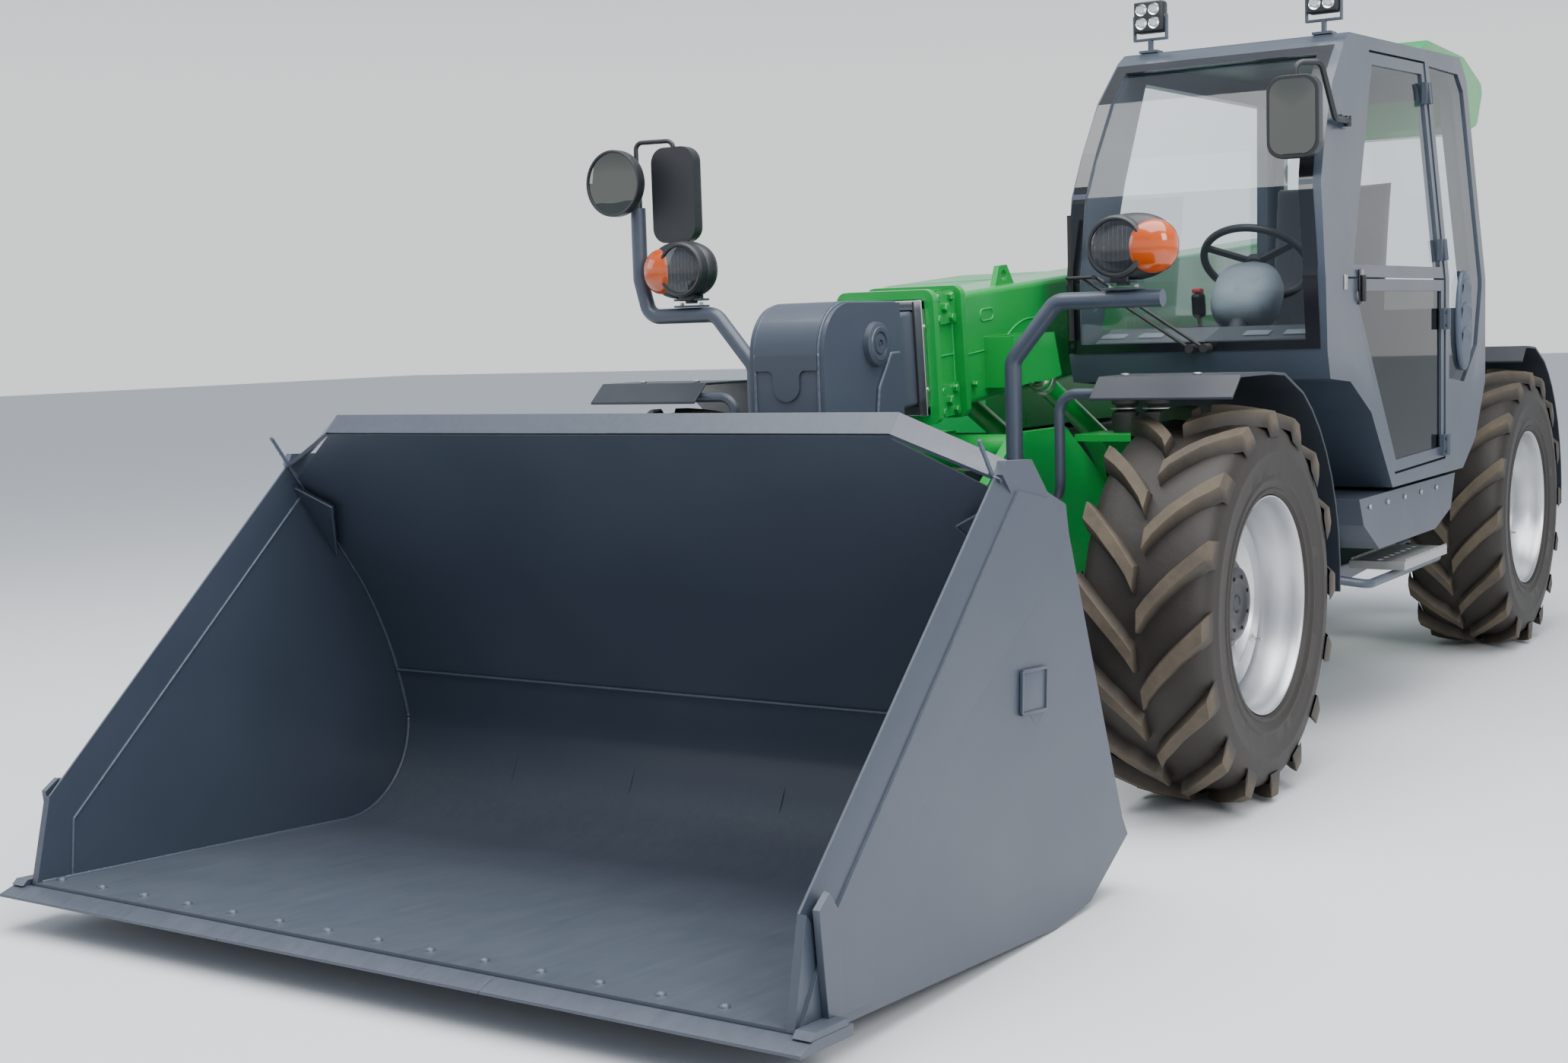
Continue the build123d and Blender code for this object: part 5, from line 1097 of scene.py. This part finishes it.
# ==== dashboard, steering column and levers ====
# A dark moulded dashboard with air vents, a column in a pale padded sleeve, a soft-rimmed wheel with
# three spokes, and a lever with a red button on the side console.
dash_black = moulded("dash_plastic", (0.03, 0.036, 0.045), 0.6, 0.15)
sleeve_grey = moulded("sleeve_grey", (0.24, 0.27, 0.3), 0.55, 0.1)
wheel_rubber = moulded("wheel_rubber", (0.02, 0.022, 0.025), 0.5, 0.05)
dressed("console", dash_black, 0.006)
dressed("steering_wheel", wheel_rubber, 0.003, 3)
dressed("joystick", wheel_rubber, 0.004, 3)
grilles = []
for x in (0.36, 0.5, 0.88, 1.02):
    grilles += [frame_bar("vent", x - 0.045, x + 0.045, 0.75 + 0.012 * i, 0.756 + 0.012 * i,
                          1.409 + 0.0036 * i, 1.414 + 0.0036 * i,
                          sleeve_grey, 0.001, AXLE_FRAME) for i in range(4)]
fixed(joined("dash_vents", grilles), "machine", "black_plastic")
button = frame_bar("lever_button", -0.018, 0.018, -0.02, 0.02, 0.0, 0.018,
                   enamel("button_red", (0.5, 0.01, 0.01), 0.3, 0.3), 0.006,
                   Matrix.Translation(at(0.4, 1.455, 1.566)))
fixed(button, "joystick", "black_plastic")
SLEEVE = (0.122, 0.092, 0.13)
sleeve_place = Matrix.Translation(at(0.7, 1.165, 1.54)) @ Matrix.Rotation(radians(-40), 4, "X")
sleeve_points, sleeve_faces = turned_rings([(sin(pi * i / 20), cos(pi * i / 20)) for i in range(21)], 40)


def squared(value, power=0.72):
    """Pushes a unit sphere's coordinate towards a cube's."""
    return abs(value) ** power * (1 if value > 0 else -1)


sleeve_points = [sleeve_place @ Vector([squared(p[k]) * SLEEVE[k] for k in range(3)]) for p in sleeve_points]
fixed(mesh_object("column_sleeve", sleeve_points, sleeve_faces, sleeve_grey), "machine", "black_plastic")

# ==== driver's seat ====
# A suspended seat in black cloth: a crowned cushion and a tall back, both with raised side bolsters
# and sewn cross channels, on a folding rubber gaiter.
cloth, cl_nodes, cl_links, cl_shader = principled("seat_cloth", (0.022, 0.024, 0.028), 0.85)
cl_shader.inputs["Sheen Weight"].default_value = 0.35
weave = placed_node(cl_nodes, "ShaderNodeTexVoronoi", Scale=420.0)
cl_place = cl_nodes.new("ShaderNodeTexCoord")
cl_links.new(cl_place.outputs["Object"], weave.inputs["Vector"])
cl_tone = placed_node(cl_nodes, "ShaderNodeMixRGB", Color1=(0.014, 0.016, 0.02, 1),
                      Color2=(0.05, 0.055, 0.065, 1))
cl_links.new(weave.outputs["Distance"], cl_tone.inputs["Fac"])
cl_links.new(cl_tone.outputs["Color"], cl_shader.inputs["Base Color"])
cl_bump = placed_node(cl_nodes, "ShaderNodeBump", Distance=0.0008)
cl_links.new(weave.outputs["Distance"], cl_bump.inputs["Height"])
cl_links.new(cl_bump.outputs["Normal"], cl_shader.inputs["Normal"])


def crowned(name, width, depth, thick, channels, place):
    """A closed cushion: crowned on both faces, with side bolsters, sewn channels and drawn-in sides."""
    across, along = 48, 60
    points, faces = [], []
    for sheet in (1, -1):
        for j in range(along + 1):
            v = -1 + 2 * j / along
            for i in range(across + 1):
                u = -1 + 2 * i / across
                rim = (1 - abs(u) ** 5) ** 0.4 * (1 - abs(v) ** 6) ** 0.4
                bolster = 0.2 * max(0.0, (abs(u) - 0.55) / 0.45) * (1 - ((abs(u) - 0.78) / 0.22) ** 2 * 0.5)
                groove = sum(max(0.0, 1 - abs(v - c) / 0.02) for c in channels) if abs(u) < 0.6 else 0.0
                seam = max(0.0, 1 - abs(abs(u) - 0.6) / 0.03)
                sunk = (0.007 * groove + 0.006 * seam) * rim * (sheet > 0)
                rise = thick / 2 * rim * (0.82 + bolster + 0.1 * (1 - u * u)) - sunk
                pull = 1 - 0.02 * (1 - v * v)
                points.append(place @ Vector((u * width / 2 * pull, v * depth / 2 * (1 - 0.015 * (1 - u * u)),
                                              sheet * rise)))
    row = across + 1
    count = row * (along + 1)
    for sheet in (0, 1):
        for j in range(along):
            for i in range(across):
                a = sheet * count + j * row + i
                quad = (a, a + 1, a + row + 1, a + row)
                faces.append(quad if sheet == 0 else quad[::-1])
    piece = mesh_object(name, points, faces, cloth)
    shape = bmesh.new()
    shape.from_mesh(piece.data)
    bmesh.ops.remove_doubles(shape, verts=shape.verts, dist=0.0004)
    bmesh.ops.recalc_face_normals(shape, faces=shape.faces)
    shape.to_mesh(piece.data)
    shape.free()
    return piece


cushion = crowned("seat_cushion", 0.49, 0.49, 0.14, (-0.35, 0.05, 0.45),
                  Matrix.Translation(at(0.7, 1.73, 1.262)))
lean_back = Matrix.Translation(at(0.7, 2.09, 1.64)) @ Matrix.Rotation(radians(80), 4, "X")
backrest = crowned("seat_back", 0.455, 0.68, 0.13, (-0.55, -0.2, 0.15, 0.5), lean_back)
for pad in (cushion, backrest):
    fixed(pad, "seat", SLOTS["seat"])
gaiter_profile = []
for i in range(9):
    gaiter_profile += [(1.0, 0.965 + 0.026 * i), (0.93, 0.978 + 0.026 * i)]
gaiter_points, gaiter_faces = [], []
for scale, height in gaiter_profile:
    for k in range(32):
        angle = 2 * pi * k / 32
        gaiter_points.append(at(0.7 + 0.188 * scale * squared(cos(angle), 0.35),
                                1.74 + 0.198 * scale * squared(sin(angle), 0.35), height))
rings = len(gaiter_profile)
gaiter_faces = [(r * 32 + k, r * 32 + (k + 1) % 32, (r + 1) * 32 + (k + 1) % 32, (r + 1) * 32 + k)
                for r in range(rings - 1) for k in range(32)]
gaiter_faces += [tuple(range(32))[::-1], tuple((rings - 1) * 32 + k for k in range(32))]
gaiter = mesh_object("seat_gaiter", gaiter_points, gaiter_faces, seal_rubber)
fixed(gaiter, "seat", "rubber", "seat")

# ==== windscreen wiper and cab mounts ====
# A pair of black arms that keep the rubber blade upright, and stacked rubber isolators under the cab.
for node, material in (("wiper_arm", grille_black), ("wiper_link", grille_black),
                       ("wiper_blade", seal_rubber)):
    dressed(node, material, 0.0012)


def upright_turned(name, profile, place, material, steps=48, edge=38):
    """A piece turned about a vertical line; the outline is (radius, height)."""
    piece = turned(name, profile, Vector((0, 0, 0)), material, 1.0, steps, edge)
    piece.data.transform(Matrix.Translation(place) @ Matrix.Rotation(-pi / 2, 4, "Y"))
    return piece


mounts = []
for x, y, z0, z1 in ((0.43, 0.69, 1.0854, 1.2524), (0.548, 0.69, 1.0854, 1.2524),
                     (0.43, 2.29, 0.8004, 0.8494), (0.9, 2.29, 0.8004, 0.8494)):
    tall = z1 - z0
    outline = [(0.0, 0.0), (0.04, 0.0), (0.046, 0.15 * tall), (0.046, 0.4 * tall), (0.03, 0.46 * tall),
               (0.03, 0.54 * tall),
               (0.046, 0.6 * tall), (0.046, 0.88 * tall), (0.04, tall), (0.0, tall)]
    mounts.append(upright_turned("isolator", outline, at(x, y, z0), seal_rubber, 40, 40))
    mounts.append(upright_turned("washer", [(0.0, 0.49 * tall), (0.05, 0.49 * tall), (0.05, 0.51 * tall),
                                            (0.0, 0.51 * tall)], at(x, y, z0), nut_zinc, 40, 40))
fixed(joined("cab_isolators", mounts), "machine", "rubber", "rubber_mounts")

# ==== fenders, step and tube arms ====
# Injection-moulded fenders in dark blue-black plastic with light screws, a galvanised tread with a
# toothed edge, and bent tubes in slate enamel that carry the lamps and mirrors.
fender_black = moulded("fender_plastic", (0.014, 0.019, 0.03), 0.42, 0.12, 700.0, 0.15)
dressed("fenders", fender_black, 0.003)
dressed("body_bolts", nut_zinc, 0.002)
galvanised = bright_metal("galvanised", (0.5, 0.5, 0.49), 0.5)
dressed("step", galvanised, 0.001)
arm_slate = enamel("arm_slate", (0.045, 0.06, 0.088), 0.4, 0.2, 0.12)
dressed("tube_arms", arm_slate, 0.001)
teeth = []
for i in range(22):
    for edge_x in (0.993, 1.189):
        y = 1.42 + i * 0.0252
        teeth.append(frame_bar("tooth", edge_x - 0.003, edge_x + 0.003, y, y + 0.012, 0.574, 0.584,
                               galvanised, 0.001, AXLE_FRAME))
fixed(joined("step_teeth", teeth), "machine", "zinc")

# ==== headlamps ====
# A round moulded bowl with a chromed reflector behind a ribbed lens, and beside it on the outboard
# side a bulging amber indicator. Both stand on a bracket that turns on the tube arm.
lamp_black = moulded("lamp_plastic", (0.014, 0.016, 0.02), 0.4, 0.12)
reflector = bright_metal("reflector", (0.85, 0.86, 0.88), 0.06, 0.01)
amber = enamel("amber_lens", (0.5, 0.07, 0.002), 0.12, 0.6, 0.02, 0.5, 0.05)
lens_clear = window_glass("lens_clear", (0.93, 0.95, 0.97))
LAMP_Y, LAMP_Z, LAMP_ARM_Z = -0.33, 1.688, 1.535
BOWL = [(0.0, -0.118), (0.03, -0.116), (0.06, -0.1), (0.08, -0.072), (0.09, -0.035), (0.0925, -0.012),
        (0.091, 0.004), (0.084, 0.01),
        (0.078, 0.009), (0.0765, 0.0)]
MIRROR_BOWL = [(0.0765, 0.003), (0.066, -0.024), (0.048, -0.046), (0.026, -0.058), (0.012, -0.062),
               (0.0, -0.062)]
BULB = [(0.0, -0.012), (0.008, -0.014), (0.011, -0.022), (0.011, -0.05), (0.014, -0.062)]
LENS = [(0.0765, 0.006), (0.06, 0.0115), (0.035, 0.015), (0.0, 0.0165)]


def facing(piece, place, heading):
    """Turns a piece made along +X at the origin to look along a heading from a place."""
    aimed = Vector(heading).to_track_quat("X", "Z").to_matrix().to_4x4()
    piece.data.transform(Matrix.Translation(place) @ aimed)
    return piece


def egg(name, middle, radii, material, power=0.9):
    """A rounded body that is slightly squarer than an ellipsoid."""
    points, faces = turned_rings([(sin(pi * i / 28), cos(pi * i / 28)) for i in range(29)], 56)
    points = [middle + Vector([squared(p[k], power) * radii[k] for k in range(3)]) for p in points]
    return mesh_object(name, points, faces, material)


ORIGIN = Vector((0, 0, 0))
for hand, side, x in (("left", 1.0, 0.845), ("right", -1.0, 0.724)):
    front = at(side * x, LAMP_Y + 0.012, LAMP_Z)
    parts = [facing(turned("bowl", BOWL, ORIGIN, lamp_black, 1.0, 64), front, (0, -1, 0)),
             facing(turned("mirror", MIRROR_BOWL, ORIGIN, reflector, 1.0, 64), front, (0, -1, 0)),
             facing(turned("bulb", BULB, ORIGIN, nut_zinc, 1.0, 24), front, (0, -1, 0)),
             facing(turned("lens", LENS, ORIGIN, lens_clear, 1.0, 64), front, (0, -1, 0))]
    for i in range(-4, 5):
        reach = (0.07 ** 2 - (i * 0.0145) ** 2) ** 0.5
        rib = [(-reach, 0.0), (-reach * 0.5, 0.0), (0, 0.0), (reach * 0.5, 0.0), (reach, 0.0)]
        ribbed = [front + Vector((i * 0.0145, -0.0125 - 0.003 * (1 - (z / 0.07) ** 2), z)) for z, _ in rib]
        parts.append(weld_bead("lens_rib", ribbed, 0.0012, lens_clear))
    parts.append(egg("brow", at(side * (x + 0.032), LAMP_Y + 0.07, LAMP_Z), (0.132, 0.068, 0.098),
                     lamp_black))
    parts.append(egg("indicator", at(side * (x + 0.092), LAMP_Y + 0.058, LAMP_Z - 0.002),
                     (0.082, 0.064, 0.08), amber))
    parts.append(frame_bar("saddle", -0.03, 0.03, LAMP_Y + 0.03, LAMP_Y + 0.1, LAMP_Z - 0.105, LAMP_Z - 0.07,
                           lamp_black, 0.006,
                           Matrix.Translation(at(side * x, 0, 0))))
    parts.append(upright_turned("stem", [(0.0, LAMP_ARM_Z + 0.04), (0.021, LAMP_ARM_Z + 0.04),
                                         (0.021, LAMP_Z - 0.09), (0.03, LAMP_Z - 0.088),
                                         (0.03, LAMP_Z - 0.072), (0.0, LAMP_Z - 0.07)],
                                at(side * x, -0.262, 0), lamp_black, 32))
    for up in (0, 1):
        parts.append(frame_bar("plate", -0.055, 0.055, -0.29, -0.234, LAMP_ARM_Z + 0.0268 + 0.022 * up,
                               LAMP_ARM_Z + 0.034 + 0.022 * up,
                               arm_slate, 0.002, Matrix.Translation(at(side * x, 0, 0))))
    for dx in (-0.04, 0.04):
        parts.append(hex_head("bolt", at(side * x + dx, -0.262, LAMP_ARM_Z + 0.034), (0, 0, 1), 0.013, 0.009,
                              nut_zinc, dx * 30))
    fixed(joined("headlamp_whole_" + hand, parts), "headlamp_" + hand, "black_plastic", "headlamp_" + hand)

# ==== work lamps ====
# Square LED lamps with a finned back and four lenses, tilting between two ears on the roof's edge.
led_white = bright_metal("led_reflector", (0.8, 0.82, 0.84), 0.15)
for hand, x in (("left", 0.99), ("right", 0.352)):
    y, z = 1.148, 2.56
    origin = Matrix.Translation(at(x, y, z))
    parts = [frame_bar("case", -0.056, 0.056, -0.022, 0.03, -0.056, 0.056, lamp_black, 0.012, origin),
             frame_bar("bezel", -0.053, 0.053, -0.029, -0.02, -0.053, 0.053, lamp_black, 0.004, origin)]
    for px in (-0.024, 0.024):
        for pz in (-0.024, 0.024):
            cup = turned("cup", [(0.0215, 0.0008), (0.0205, 0.0022), (0.019, 0.0008), (0.008, -0.0004),
                                 (0.0, 0.0012)], ORIGIN, led_white, 1.0, 24)
            parts.append(facing(cup, at(x + px, y - 0.0295, z + pz), (0, -1, 0)))
    for i in range(6):
        parts.append(frame_bar("fin", -0.046, 0.046, 0.026, 0.048, -0.046 + 0.0175 * i, -0.0425 + 0.0175 * i,
                               lamp_black, 0.001, origin))
    for side in (-1.0, 1.0):
        parts.append(turned("stub", [(0.0, 0.0575), (0.008, 0.0575), (0.009, 0.05), (0.0, 0.05)], at(x, y, z),
                            nut_zinc, side, 24))
    fixed(joined("work_lamp_whole_" + hand, parts), "work_lamp_" + hand, "black_plastic", "work_lamp_" + hand)

# ==== mirrors ====
# A round wide-angle mirror and a tall one on the right arm, and one on the cab's left post. Each has a
# silvered face in a black moulded shell with a raised lip.
silvered = bright_metal("silvered_glass", (0.13, 0.14, 0.13), 0.02, 0.0)
DISH = [(0.112, -0.004), (0.112, 0.006), (0.108, 0.0085), (0.104, 0.0075), (0.102, 0.002)]
FACE = [(0.103, 0.003), (0.08, 0.0052), (0.05, 0.0068), (0.0, 0.0078)]
dressed("round_mirror", lamp_black, 0.003)
dressed("arm_mirror", lamp_black, 0.004, 3)
dressed("door_mirror", lamp_black, 0.004, 3)
round_at = at(-0.972, -0.262 - 0.085, 1.988)
faces_forward = [facing(turned("lip", DISH, ORIGIN, lamp_black, 1.0, 80), round_at, (0, -1, 0)),
                 facing(turned("glass", FACE, ORIGIN, silvered, 1.0, 80), round_at, (0, -1, 0))]
fixed(joined("round_mirror_face", faces_forward), "round_mirror", "black_plastic")


def rounded_pane(name, width, height, corner, place, material, dome=0.004):
    """A slightly domed pane with rounded corners that looks along -Y from a place."""
    edge = []
    for cx, cz, start in ((1, 1, 0), (-1, 1, 90), (-1, -1, 180), (1, -1, 270)):
        for i in range(9):
            angle = radians(start + 90 * i / 8)
            edge.append((cx * (width / 2 - corner) + corner * cos(angle),
                         cz * (height / 2 - corner) + corner * sin(angle)))
    points, faces = [], []
    for scale in (1.0, 0.75, 0.5, 0.25):
        points += [place + Vector((x * scale, -dome * (1 - scale ** 2), z * scale)) for x, z in edge]
    count = len(edge)
    points.append(place + Vector((0, -dome, 0)))
    faces += [(r * count + i, (r + 1) * count + i, (r + 1) * count + (i + 1) % count,
               r * count + (i + 1) % count) for r in range(3) for i in range(count)]
    faces += [(3 * count + i, 4 * count, 3 * count + (i + 1) % count) for i in range(count)]
    return mesh_object(name, points, faces, material)


fixed(rounded_pane("door_mirror_glass", 0.152, 0.24, 0.045, at(1.06, 0.608, 2.11), silvered), "door_mirror",
      "black_plastic")
